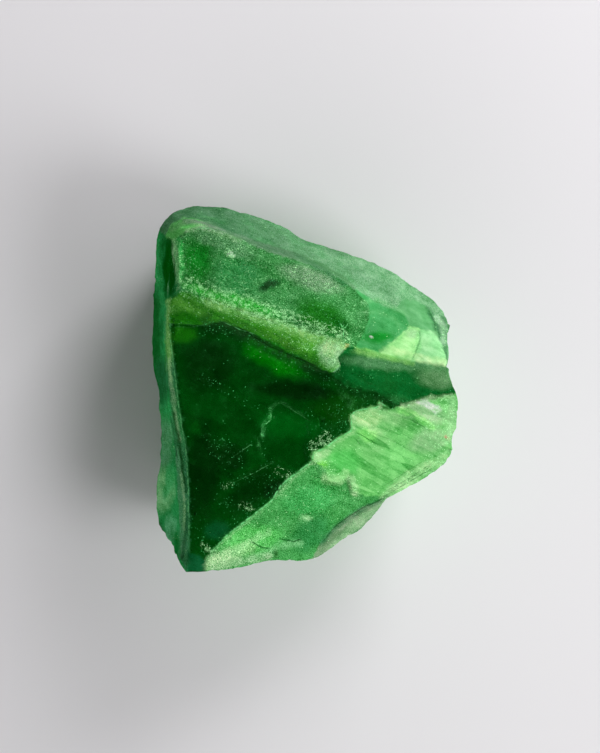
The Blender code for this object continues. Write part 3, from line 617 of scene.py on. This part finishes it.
# Bright edges, the same way: pale rims, and painted glints where an edge catches the light
GLINTS = [
    (0.07, 0.9, (10, -3), *BROKEN_EDGE, *LOW_EDGE),
    (0.06, 0.5, (-13.1, 7.2), *BEVEL_EDGE, (-11.1, -17.4)),
    (0.05, 0.75, (-3.8, -6.3), (-3.8, -5.1), (-2.9, -4.3), (-2.9, -3.5)),
    (0.035, 0.35, (-2.9, -3.5), (-2.1, -2.6), (-0.7, -3.4), (0.9, -4.4)),
    (0.03, 0.35, (-4.7, -6.7), (-6.7, -8)),
    (0.03, 0.35, (-2.7, -8.6), (-4.5, -9.6), (-6.9, -10.7)),
    (0.04, 0.8, (4, 5.4), (4.4, 4.6), (4.3, 3.6)),
    (0.04, 0.8, (4.8, 5.3), (4.4, 4.6)),
    (0.03, 0.5, (2.5, 8.6), (5, 9.2)),
    (0.03, 0.4, (3, 8), (4.4, 8.4)),
    (0.05, 0.5, (-10.5, 14.7), (-9.5, 14.9), (-8.5, 14.6)),
    (0.04, 0.4, (-9.5, 5.2), (-11, 4.9), (-12.6, 5)),
    (0.04, 0.4, (-8, 5.6), (-6, 4.7), (-4.4, 4.2)),
]


# ---- numbers and noise
def linear(colour):
    """A paint given as 0 to 255 in linear light."""
    c = np.asarray(colour, float) / 255
    return np.where(c <= 0.04045, c / 12.92, ((c + 0.055) / 1.055) ** 2.4)


def smooth(x, low, high):
    """0 below the first level, 1 above the second, with a soft step between."""
    t = np.clip((x - low) / (high - low), 0, 1)
    return t * t * (3 - 2 * t)


def cloud(points, size, octaves=3, shift=0.0):
    """Soft noise from about -1 to 1, with lumps of that size."""
    moved = Vector((shift, shift, shift))
    return np.array([noise.fractal(Vector(p) / size + moved, *CLOUD, octaves) for p in points])


def sway(points, size, octaves, shifts):
    """Noise in both directions of the plan."""
    return np.stack([cloud(points, size, octaves, shift) for shift in shifts], axis=1)


def scallops(points, size, shift=0.0):
    """Shallow dishes side by side: 0 in the middle of each, up to 1 between them."""
    moved = Vector((shift, 0, shift))
    near = np.array([noise.voronoi(Vector(p) / size + moved)[0][0] for p in points])
    return np.minimum(near * near * DISH, 1.0)


def segment_distance(plan, a, b):
    """Distance to a segment, the same signed by side, and how far along it is nearest."""
    run = b - a
    along = np.clip((plan - a) @ run / (run @ run), 0, 1)
    away = plan - a - along[:, None] * run
    side = np.sign(run[0] * away[:, 1] - run[1] * away[:, 0])
    distance = np.hypot(away[:, 0], away[:, 1])
    return distance, distance * np.where(side == 0, 1, side), along


def polygon_distance(plan, ring):
    """Signed distance from each plan point to a ring's outline, positive inside."""
    ring = np.asarray(ring, float)
    x, y = plan[:, 0], plan[:, 1]
    inside = np.zeros(len(plan), bool)
    nearest = np.full(len(plan), np.inf)
    for a, b in zip(ring, np.roll(ring, -1, axis=0)):
        nearest = np.minimum(nearest, segment_distance(plan, a, b)[0])
        crosses = (a[1] > y) != (b[1] > y)
        rise = b[1] - a[1]
        if rise:
            inside ^= crosses & (x < a[0] + (y - a[1]) * (b[0] - a[0]) / rise)
    return np.where(inside, nearest, -nearest)


def stroke_mask(plan, points, half):
    """1 on a line, fading to 0 at a few half widths from it."""
    points = np.asarray(points, float)
    nearest = np.min([segment_distance(plan, a, b)[0] for a, b in zip(points, points[1:])], axis=0)
    return smooth(STROKE_END - nearest / half, 0, STROKE_FADE)


def line_fields(plan, lines):
    """Signed distance to the nearest line, its half width, and its strength there."""
    count = len(plan)
    nearest, score, signed = (np.full(count, FAR) for _ in range(3))
    width = np.full(count, LINE_HALF)
    strength = np.zeros(count)
    for half, force, *points in lines:
        points = np.asarray(points, float)
        steps = np.hypot(*np.diff(points, axis=0).T)
        whole, done = steps.sum(), 0.0
        for a, b, step in zip(points, points[1:], steps):
            distance, with_side, along = segment_distance(plan, a, b)
            share = (done + along * step) / whole
            taper = smooth(share, *LINE_TIP) * smooth(1 - share, *LINE_TIP)
            across = np.abs((plan - a) @ ((b - a)[::-1] * (1, -1))) / step
            rank = distance - TIE_BREAK * across
            closer = rank < score
            score = np.where(closer, rank, score)
            nearest = np.where(closer, distance, nearest)
            signed = np.where(closer, with_side, signed)
            width = np.where(closer, half, width)
            strength = np.where(closer, force * taper, strength)
            done += step
    return signed, width, strength * smooth(LINE_REACH - nearest, 0, LINE_FADE)


# ---- the fine mesh
def creased_mesh():
    """The solid's own mesh, welded, with a crease along its edges."""
    mesh = bmesh.new()
    mesh.from_mesh(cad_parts[NODE].data)
    bmesh.ops.remove_doubles(mesh, verts=mesh.verts, dist=WELD)
    crease = mesh.edges.layers.float.new("crease_edge")
    for edge in mesh.edges:
        share = (edge.calc_face_angle(0.0) - SOFT_EDGE) / (HARD_EDGE - SOFT_EDGE)
        if share > 0:
            edge[crease] = min(SOFT_CREASE + share * (1 - SOFT_CREASE), 1.0)
        if max(v.co.z for v in edge.verts) < BASE:
            edge[crease] = 1.0
    coarse = bpy.data.meshes.new("stone_coarse")
    mesh.to_mesh(coarse)
    mesh.free()
    return coarse


def fine_mesh():
    """That mesh subdivided, with its folds rounded off."""
    coarse = creased_mesh()
    holder = bpy.data.objects.new("stone_coarse", coarse)
    bpy.context.scene.collection.objects.link(holder)
    step = holder.modifiers.new("fine", "SUBSURF")
    step.levels = LEVELS
    step.render_levels = LEVELS
    graph = bpy.context.evaluated_depsgraph_get()
    fine = bpy.data.meshes.new_from_object(holder.evaluated_get(graph))
    fine.name = "stone_fine"
    bpy.data.objects.remove(holder)
    bpy.data.meshes.remove(coarse)
    return fine


def read(source, name, width):
    """Values of each vertex or edge as rows."""
    values = np.empty(len(source) * width, np.float32)
    source.foreach_get(name, values)
    return values.reshape(-1, width).astype(float)


def ridge_measure(mesh, places, normals):
    """How sharply the surface turns at each vertex: above 0 on ridges, below in valleys."""
    ends = np.empty(len(mesh.edges) * 2, np.int32)
    mesh.edges.foreach_get("vertices", ends)
    a, b = ends.reshape(-1, 2).T
    run = places[a] - places[b]
    length = np.linalg.norm(run, axis=1) + TINY
    turn = np.zeros(len(places))
    count = np.zeros(len(places))
    for end, way in ((a, 1), (b, -1)):
        np.add.at(turn, end, way * np.einsum("ij,ij->i", normals[end], run) / length)
        np.add.at(count, end, 1)
    return turn / np.maximum(count, 1)


def plan_of(places):
    """Where each point lies in the plan, as seen from the eye."""
    spread = (EYE[2] - PLAN_HEIGHT) / (EYE[2] - places[:, 2])
    return (places[:, :2] - EYE[:2]) * spread[:, None]


# ---- paint
def tint(paint, share, colour):
    """Lays a colour over the paint, as thick as its share."""
    paint += (linear(colour) - paint) * np.asarray(share)[:, None]


class Finish:
    """What the surface is like at each vertex."""

    def __init__(self, count):
        self.paint = np.zeros((count, 3))
        self.rough, self.clear, self.grain = np.zeros((3, count))
        self.fibre, self.speck, self.dust = np.zeros((3, count))

    def lay(self, share, colour, *values):
        """Lays one of the finishes above over the surface."""
        tint(self.paint, share, colour)
        for held, value in zip((self.rough, self.clear, self.grain, self.fibre, self.speck), values):
            held += (value - held) * share

    def take_clear(self, share):
        """Makes the surface opaque there, with its own colour as deep as before."""
        dulled = self.clear * (1 - share)
        self.paint *= ((1 - self.clear) / (1 - dulled))[:, None]
        self.clear = dulled


def lay_back(finish, share, across):
    """The pale frosted finish of the back, from its left tone to its right."""
    finish.lay(share, *BACK_LEFT)
    finish.lay(share * smooth(across, *BACK_TURN), *BACK_RIGHT)


def add_clouds(finish, places, share):
    """Soft darker and lighter clouds, so that no wall is one flat tone."""
    for size, shift, colour, reach in WALL_CLOUDS:
        patch = smooth(cloud(places, size, 3, shift), *CLOUD_LEVEL)
        tint(finish.paint, share * reach * patch, colour)


def paint_walls(finish, places):
    """The walls: darker to the left, lighter to the right, and paler towards the top."""
    everywhere = np.ones(len(places))
    finish.lay(everywhere, *WALL_LEFT)
    reach, size = WALL_SWAY
    swayed = places[:, 0] + reach * cloud(places, size, 2)
    finish.lay(smooth(swayed, *WALL_TURN), *WALL_RIGHT)
    climb = SKIRT_SHARE * smooth(places[:, 2], 0.0, SKIRT_HEIGHT)
    lay_back(finish, climb, places[:, 0])
    add_clouds(finish, places, everywhere)


def lay_areas(finish, upward, plan):
    """The finish of each face of the plan, and how far each vertex belongs to each."""
    shares = {}
    for name, ring in AREAS.items():
        shares[name] = upward * smooth(polygon_distance(plan, ring), *AREA_EDGE)
        if name in AREA_FINISH:
            finish.lay(shares[name], *AREA_FINISH[name])
    return shares


def add_blotches(finish, shares, plan):
    """Soft round patches of paint, each within its own face, painted glow and shade among them."""
    for area, blotches in BLOTCHES.items():
        for x, y, rx, ry, turn, colour, strength in blotches:
            c, s = math.cos(math.radians(turn)), math.sin(math.radians(turn))
            dx, dy = (plan - (x, y)).T
            reach = np.hypot((dx * c + dy * s) / rx, (dy * c - dx * s) / ry)
            tint(finish.paint, shares[area] * strength * smooth(-reach, *BLOTCH_EDGE), colour)


def add_strokes(finish, upward, off_dark, places, plan):
    """Soft strokes of paint, painted shade and glow among them. The pale ones end where the dark face
    begins.
    """
    size, mean, swing = PATCHES
    patches = np.clip(mean + swing * cloud(places, size, 2, 3.0), LEAST_PATCH, 1)
    for half, colour, strength, *points in STROKES:
        share = stroke_mask(plan, points, half) * strength * patches * upward
        if colour[1] > PALE_GREEN:
            share *= off_dark
        tint(finish.paint, share, colour)


def add_dust(finish, upward, plan):
    """Pale dust where the surface is crushed. It isn't clear there."""
    for half, strength, *points in DUST:
        finish.dust = np.maximum(finish.dust, stroke_mask(plan, points, half) * strength * upward)
    finish.take_clear(DULL_SHARE * smooth(finish.dust, *DULL_DUST))


def paint_top(finish, places, normals, plan):
    """The upper side: how far each vertex belongs to it, and to each of its faces."""
    upward = smooth(normals[:, 2], *UPWARD) * smooth(places[:, 2], *RIM)
    wander = sway(places, WANDER_SIZE, 2, (5.0, 9.0))
    ragged = plan + RAGGED * sway(places, RAGGED_SIZE, 1, (15.0, 19.0))
    loose = ragged + LOOSE * wander
    close = ragged + CLOSE * wander
    lay_back(finish, upward, plan[:, 0])
    add_clouds(finish, places, BACK_CLOUDS * upward)
    shares = lay_areas(finish, upward, close)
    add_blotches(finish, shares, loose)
    add_strokes(finish, upward, 1 - shares["dark_face"], places, close)
    add_dust(finish, upward, loose)
    return upward, shares


def wear_edges(finish, places, ridge):
    """Dust on the sharp edges, in patches, and less of it where the stone is clear."""
    patches = 0.5 + 0.5 * cloud(places, WORN_SIZE, 2, 2.0)
    worn = np.clip(EDGE_WEAR * smooth(ridge, *WORN_RIDGE) * patches, 0, 1)
    worn *= 1 - WORN_CLEAR * finish.clear
    finish.take_clear(smooth(worn, *DULL_WEAR))
    finish.dust = np.maximum(worn, finish.dust)


# ---- relief
def relief(places, upward, flake, finish, ridge):
    """How far each vertex moves along its normal."""
    move = np.zeros(len(places))
    for k, (size, depth) in enumerate(SCALLOP):
        move += (1 - upward) * depth * (scallops(places, size, 3.0 * k) - DISH_LEVEL)
    for k, (size, depth) in enumerate(GRAIN):
        move += depth * (LEAST_GRAIN + finish.grain) * cloud(places, size, 2, 7.0 * k)
    move -= FLAKE_DEPTH * flake * smooth(finish.clear, *FLAKE_CLEAR)
    nicks = smooth(cloud(places, NICK_SIZE, 2, 4.0), *NICK_LEVEL)
    move -= NICK * smooth(ridge, *NICK_RIDGE) * nicks
    return move * smooth(places[:, 2], *FOOT)


# ---- material
ALL = slice(None)


class Nodes:
    """Short names for building a node tree."""

    def __init__(self, tree):
        self.tree = tree

    def fill(self, sockets, values):
        """Links each socket to its value, or sets it to that number or colour."""
        for name, value in values.items():
            if isinstance(value, bpy.types.NodeSocket):
                self.tree.links.new(value, sockets[name])
            elif value is not None:
                sockets[name].default_value = value

    def make(self, kind, values=None, output=0, **settings):
        node = self.tree.nodes.new(kind)
        for name, value in settings.items():
            setattr(node, name, value)
        self.fill(node.inputs, values or {})
        return node.outputs[output]

    def math(self, kind, a, b=None, clamp=False):
        return self.make("ShaderNodeMath", {0: a, 1: b}, operation=kind, use_clamp=clamp)

    def times(self, value, *others):
        for other in others:
            value = self.math("MULTIPLY", value, other)
        return value

    def plus(self, value, *others):
        for other in others:
            value = self.math("ADD", value, other)
        return value

    def minus(self, a, b):
        return self.math("SUBTRACT", a, b)

    def most(self, a, b):
        return self.math("MAXIMUM", a, b)

    def swing(self, value, gain):
        """How far a noise is from its middle, times a gain."""
        return self.times(self.minus(value, 0.5), gain)

    def span(self, value, low, high, to_low=0.0, to_high=1.0):
        """Maps the first pair of levels to the second, with a soft step."""
        values = dict(enumerate((value, low, high, to_low, to_high)))
        return self.make("ShaderNodeMapRange", values, interpolation_type="SMOOTHSTEP")

    def product(self, a, b):
        """Each colour of one times the same colour of the other."""
        return self.make("ShaderNodeVectorMath", {0: a, 1: b}, operation="MULTIPLY")

    def mix(self, share, a, b):
        return self.make("ShaderNodeMix", {"Factor": share, 6: a, 7: b}, 2, data_type="RGBA")

    def split(self, colour):
        return self.make("ShaderNodeSeparateColor", {0: colour}, ALL)

    def parts(self, vector):
        return self.make("ShaderNodeSeparateXYZ", {0: vector}, ALL)

    def where(self, kind):
        return self.make("ShaderNodeTexCoord", output=kind)

    def held(self, name, kind="Vector"):
        """What the mesh holds at each place."""
        return self.make("ShaderNodeAttribute", output=kind, attribute_name=name)

    def noise(self, where, scale, detail, rough):
        values = {"Vector": where, "Scale": scale, "Detail": detail, "Roughness": rough}
        return self.make("ShaderNodeTexNoise", values, "Fac")

    def cells(self, where, scale=1.0):
        """Three numbers from 0 to 1, the same all through each small cell of the space."""
        return self.split(self.make("ShaderNodeTexVoronoi", {"Vector": where, "Scale": scale}, "Color"))

    def stretched(self, where, size):
        """Coordinates turned along the cleavage, one unit for each size."""
        scale = [x * MM for x in size]
        values = {"Vector": where, "Rotation": (0, 0, CLEAVAGE), "Scale": scale}
        return self.make("ShaderNodeMapping", values, vector_type="TEXTURE")


def full(colour):
    """A paint as a socket takes it."""
    return (*linear(colour), 1)


class Skin:
    """The finish that the mesh holds, and the noises that break it up."""

    def __init__(self, nodes):
        where = nodes.where("Object")
        self.rough, self.clear, self.grain = nodes.parts(nodes.held("finish"))
        self.fibre, self.speck, self.dust = nodes.parts(nodes.held("marks"))
        self.tone = nodes.held("tint", "Color")
        self.fine = nodes.noise(where, *FINE)
        self.lumps = nodes.noise(where, *LUMPS)
        self.drift = nodes.noise(where, *DRIFT)
        self.broken = nodes.noise(where, *BROKEN)
        self.sparkle = nodes.noise(where, *SPARKLE)
        self.threads = nodes.noise(nodes.stretched(where, FIBRE_SIZE), *THREADS)
        self.strips = nodes.cells(nodes.stretched(where, STRIP_SIZE))[0]
        self.plates = nodes.cells(nodes.stretched(where, PLATE_SIZE))[0]
        self.grit = nodes.cells(where, GRIT_SCALE)
        self.shine = nodes.span(nodes.split(self.tone)[1], *SHINE)
        self.pale_dust = nodes.most(self.shine, nodes.span(self.dust, *THICK_DUST))
        self.crushed = nodes.times(self.dust, nodes.span(self.broken, *CRUSHED))


def shaded(nodes, skin):
    """The tint of each place, lighter and darker with the noises."""
    shade = nodes.plus(
        nodes.swing(skin.lumps, LUMP_CONTRAST),
        nodes.swing(skin.drift, DRIFT_CONTRAST),
        nodes.times(nodes.swing(skin.fine, GRAIN_CONTRAST), skin.grain),
        nodes.times(nodes.swing(skin.sparkle, SPARKLE_CONTRAST), skin.grain),
        nodes.times(nodes.swing(skin.threads, FIBRE_CONTRAST), skin.fibre),
        nodes.times(nodes.swing(skin.strips, STRIP_CONTRAST), skin.fibre),
        nodes.times(nodes.swing(skin.plates, PLATE_CONTRAST), skin.clear),
    )
    pits = nodes.times(nodes.span(skin.sparkle, *PIT_LEVEL, PIT_DEPTH, 0.0), skin.grain)
    gain = nodes.most(nodes.plus(nodes.minus(shade, pits), 1.0), LEAST_SHADE)
    steps = {k: nodes.math("POWER", gain, power) for k, power in enumerate(DEEPEN)}
    return nodes.product(skin.tone, nodes.make("ShaderNodeCombineXYZ", steps))


def veiled(nodes, skin, body, veil):
    """Frosted veils along the fibres, and a frosted bloom where the surface is crushed."""
    share = nodes.times(nodes.plus(skin.shine, LEAST_SHINE), PALE_SHARE)
    pale = nodes.mix(share, skin.tone, full(FROST_PAINT))
    body = nodes.mix(veil, body, pale)
    bloom = nodes.times(skin.crushed, nodes.minus(1.0, skin.clear), DUST_VEIL)
    return nodes.mix(bloom, body, pale)


def bright_dots(nodes, skin):
    """Where there are bright dots: soft clots of the finest noise, and sparks of grit."""
    clump = nodes.span(skin.lumps, *CLUMPS)
    scattered = nodes.times(skin.speck, clump, SPECK_DENSITY)
    density = nodes.plus(scattered, nodes.times(skin.crushed, DUST_DENSITY))
    kept = nodes.plus(nodes.times(skin.pale_dust, 1 - DEEP_DOTS), DEEP_DOTS)
    density = nodes.times(density, kept)
    level = nodes.minus(CLOT_LEVEL, nodes.times(density, CLOT_DROP))
    clots = nodes.times(nodes.span(skin.sparkle, level, nodes.plus(level, CLOT_FADE)), CLOT_SHARE)
    clots = nodes.times(clots, nodes.span(skin.fine, *CLOT_TONE))
    rarity = nodes.minus(1.0, nodes.times(density, GRIT_SHARE))
    chosen = nodes.math("GREATER_THAN", skin.grit[0], rarity)
    sparks = nodes.times(chosen, nodes.span(nodes.times(skin.grit[1], skin.grit[1]), *SPARK_TONE))
    return nodes.most(clots, sparks)


def on_lines(nodes, skin, name, breaks):
    """1 on the lines held by an attribute of distance, half width and strength."""
    signed, half, strength = nodes.parts(nodes.held(name))
    off = nodes.math("ABSOLUTE", nodes.plus(signed, nodes.swing(skin.broken, LINE_WAVER)))
    line = nodes.times(nodes.span(nodes.math("DIVIDE", off, half), *LINE_EDGE), strength)
    return nodes.times(line, breaks)


def bumps(nodes, skin, crack):
    """The normal, tilted by the grain and the fibres, with the cracks cut in."""
    fine_grain = nodes.plus(skin.grain, LEAST_FINE)
    dusty_grain = nodes.plus(skin.grain, nodes.times(skin.dust, skin.dust))
    height = nodes.plus(
        nodes.times(skin.fine, fine_grain),
        nodes.times(skin.sparkle, nodes.times(dusty_grain, SPARKLE_HEIGHT)),
        nodes.times(skin.threads, nodes.times(skin.fibre, THREAD_HEIGHT)),
        nodes.times(skin.strips, nodes.times(skin.fibre, STRIP_HEIGHT)),
        nodes.times(skin.lumps, LUMP_HEIGHT),
    )
    height = nodes.minus(height, nodes.times(crack, CRACK_HEIGHT))
    values = {"Strength": BUMP_STRENGTH, "Distance": BUMP_DEPTH * MM, "Height": height}
    return nodes.make("ShaderNodeBump", values)


def new_material(name):
    """A material, its node tree, and the inputs of its shader and its output."""
    material = bpy.data.materials.new(name)
    material.use_nodes = True
    tree = material.node_tree
    shader, output = (tree.nodes[k].inputs for k in ("Principled BSDF", "Material Output"))
    return material, Nodes(tree), shader, output


def jade_material():
    material, nodes, shader, output = new_material("green jadeite")
    skin = Skin(nodes)
    veil = nodes.times(nodes.span(skin.threads, *VEIL_LEVEL), skin.fibre, VEIL_SHARE)
    dots = bright_dots(nodes, skin)
    glint = on_lines(nodes, skin, "glint", nodes.span(skin.broken, *GLINT_BREAKS))
    crack = on_lines(nodes, skin, "fissure", nodes.span(skin.fine, *CRACK_BREAKS))

    body = veiled(nodes, skin, shaded(nodes, skin), veil)
    dot_paint = nodes.mix(skin.pale_dust, full(DEEP_SPECK), full(SPECK_PAINT))
    body = nodes.mix(nodes.times(dots, SPECK_SHARE), body, dot_paint)
    # pale rims and painted glints of light along the edges
    body = nodes.mix(glint, body, full(GLINT_PAINT))
    body = nodes.mix(crack, body, nodes.product(body, CRACK_TONE))

    marks = nodes.plus(dots, nodes.times(skin.dust, DUST_HAZE), crack)
    haze = nodes.math("ADD", marks, nodes.plus(glint, veil), clamp=True)
    dull = nodes.plus(skin.rough, nodes.swing(skin.lumps, LUMP_ROUGHNESS))
    dull = nodes.most(nodes.most(dull, nodes.times(haze, HAZE_ROUGHNESS)), LEAST_ROUGHNESS)
    nodes.fill(shader, {
        "Base Color": body,
        "Roughness": dull,
        "Transmission Weight": nodes.times(skin.clear, nodes.minus(1.0, haze)),
        "IOR": JADE_IOR,
        "Specular IOR Level": GLOSS,
        "Specular Tint": (*GLOSS_TINT, 1),
        "Normal": bumps(nodes, skin, crack),
    })
    loss = {"Color": (*DEPTH_COLOUR, 1), "Density": DEPTH_DENSITY}
    nodes.fill(output, {"Volume": nodes.make("ShaderNodeVolumeAbsorption", loss)})
    return material


# ---- the stone
def keep(mesh, name, columns, kind="FLOAT_VECTOR", field="vector"):
    """Stores columns of numbers as an attribute of the mesh."""
    layer = mesh.attributes.new(name, kind, "POINT")
    layer.data.foreach_set(field, np.stack(columns, axis=1).astype(np.float32).ravel())


def dressed_mesh():
    """The fine mesh with its relief, its paint and its lines."""
    mesh = fine_mesh()
    places = read(mesh.vertices, "co", 3) / MM
    normals = read(mesh.vertices, "normal", 3)
    plan = plan_of(places)
    ridge = ridge_measure(mesh, places, normals)
    finish = Finish(len(places))
    paint_walls(finish, places)
    upward, shares = paint_top(finish, places, normals, plan)
    places += normals * relief(places, upward, shares["flake"], finish, ridge)[:, None]
    places[:, 2] = np.maximum(places[:, 2], 0)
    mesh.vertices.foreach_set("co", (places * MM).astype(np.float32).ravel())
    mesh.update()
    wear_edges(finish, places, ridge)
    whole = np.ones(len(places))
    keep(mesh, "tint", (*finish.paint.T, whole), "FLOAT_COLOR", "color")
    keep(mesh, "finish", (finish.rough, finish.clear, finish.grain))
    keep(mesh, "marks", (finish.fibre, finish.speck, finish.dust))
    for name, lines in (("fissure", FISSURES), ("glint", GLINTS)):
        signed, half, strength = line_fields(plan, lines)
        keep(mesh, name, (signed, half, strength * upward))
    return mesh


def build_stone():
    mesh = dressed_mesh()
    for face in mesh.polygons:
        face.use_smooth = True
    mesh.set_sharp_from_angle(angle=SHARP)
    mesh.materials.clear()
    mesh.materials.append(jade_material())
    stone = bpy.data.objects.new("jadeite_skin", mesh)
    bpy.context.scene.collection.objects.link(stone)
    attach(stone, "root")
    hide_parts(NODE)


# ---- floor, light, camera
def floor_material():
    material, nodes, shader, _ = new_material("pale paper")
    mottle = nodes.noise(nodes.where("Object"), *FLOOR_MOTTLE)
    nodes.fill(shader, {
        "Base Color": nodes.mix(mottle, full(FLOOR_PAINT), full(FLOOR_WARM)),
        "Roughness": FLOOR_ROUGHNESS,
        "Specular IOR Level": FLOOR_GLOSS,
    })
    return material


def build_floor():
    mesh = bpy.data.meshes.new("floor")
    half = FLOOR_SIZE * MM / 2
    corners = [(-half, -half, 0), (half, -half, 0), (half, half, 0), (-half, half, 0)]
    mesh.from_pydata(corners, [], [(0, 1, 2, 3)])
    mesh.materials.append(floor_material())
    floor = bpy.data.objects.new("floor", mesh)
    bpy.context.scene.collection.objects.link(floor)


def build_lamp(name, place, size, watts):
    light = bpy.data.lights.new(name, "AREA")
    light.energy = watts
    light.size = size * MM
    lamp = bpy.data.objects.new(name, light)
    bpy.context.scene.collection.objects.link(lamp)
    lamp.location = Vector(place) * MM
    aim = Vector(LAMP_AIM) * MM - lamp.location
    lamp.rotation_euler = aim.to_track_quat("-Z", "Y").to_euler()


def build_room():
    """A soft room, brightest low on one side and dark overhead."""
    world = bpy.data.worlds.new("room")
    bpy.context.scene.world = world
    world.use_nodes = True
    nodes = Nodes(world.node_tree)
    toward = nodes.where("Generated")
    low = nodes.span(nodes.parts(toward)[2], *ROOM_HEIGHT, ROOM_BRIGHT, 0.0)
    side = (math.cos(ROOM_AZIMUTH), math.sin(ROOM_AZIMUTH), 0)
    facing = nodes.make("ShaderNodeVectorMath", {0: toward, 1: side}, "Value", operation="DOT_PRODUCT")
    strength = nodes.times(low, nodes.span(facing, *ROOM_TURN))
    back = world.node_tree.nodes["Background"].inputs
    nodes.fill(back, {"Color": (1, 1, 1, 1), "Strength": strength})


def build_camera():
    lens = bpy.data.cameras.new("camera")
    lens.lens = LENS
    lens.sensor_width = SENSOR
    lens.clip_start = NEAREST * MM
    camera = bpy.data.objects.new("camera", lens)
    camera.location = Vector(EYE) * MM
    bpy.context.scene.collection.objects.link(camera)
    bpy.context.scene.camera = camera


build_stone()
build_floor()
build_room()
build_lamp("back_lamp", *BACK_LAMP)
build_lamp("side_lamp", *SIDE_LAMP)
build_camera()
bpy.context.scene.view_settings.view_transform = "Standard"
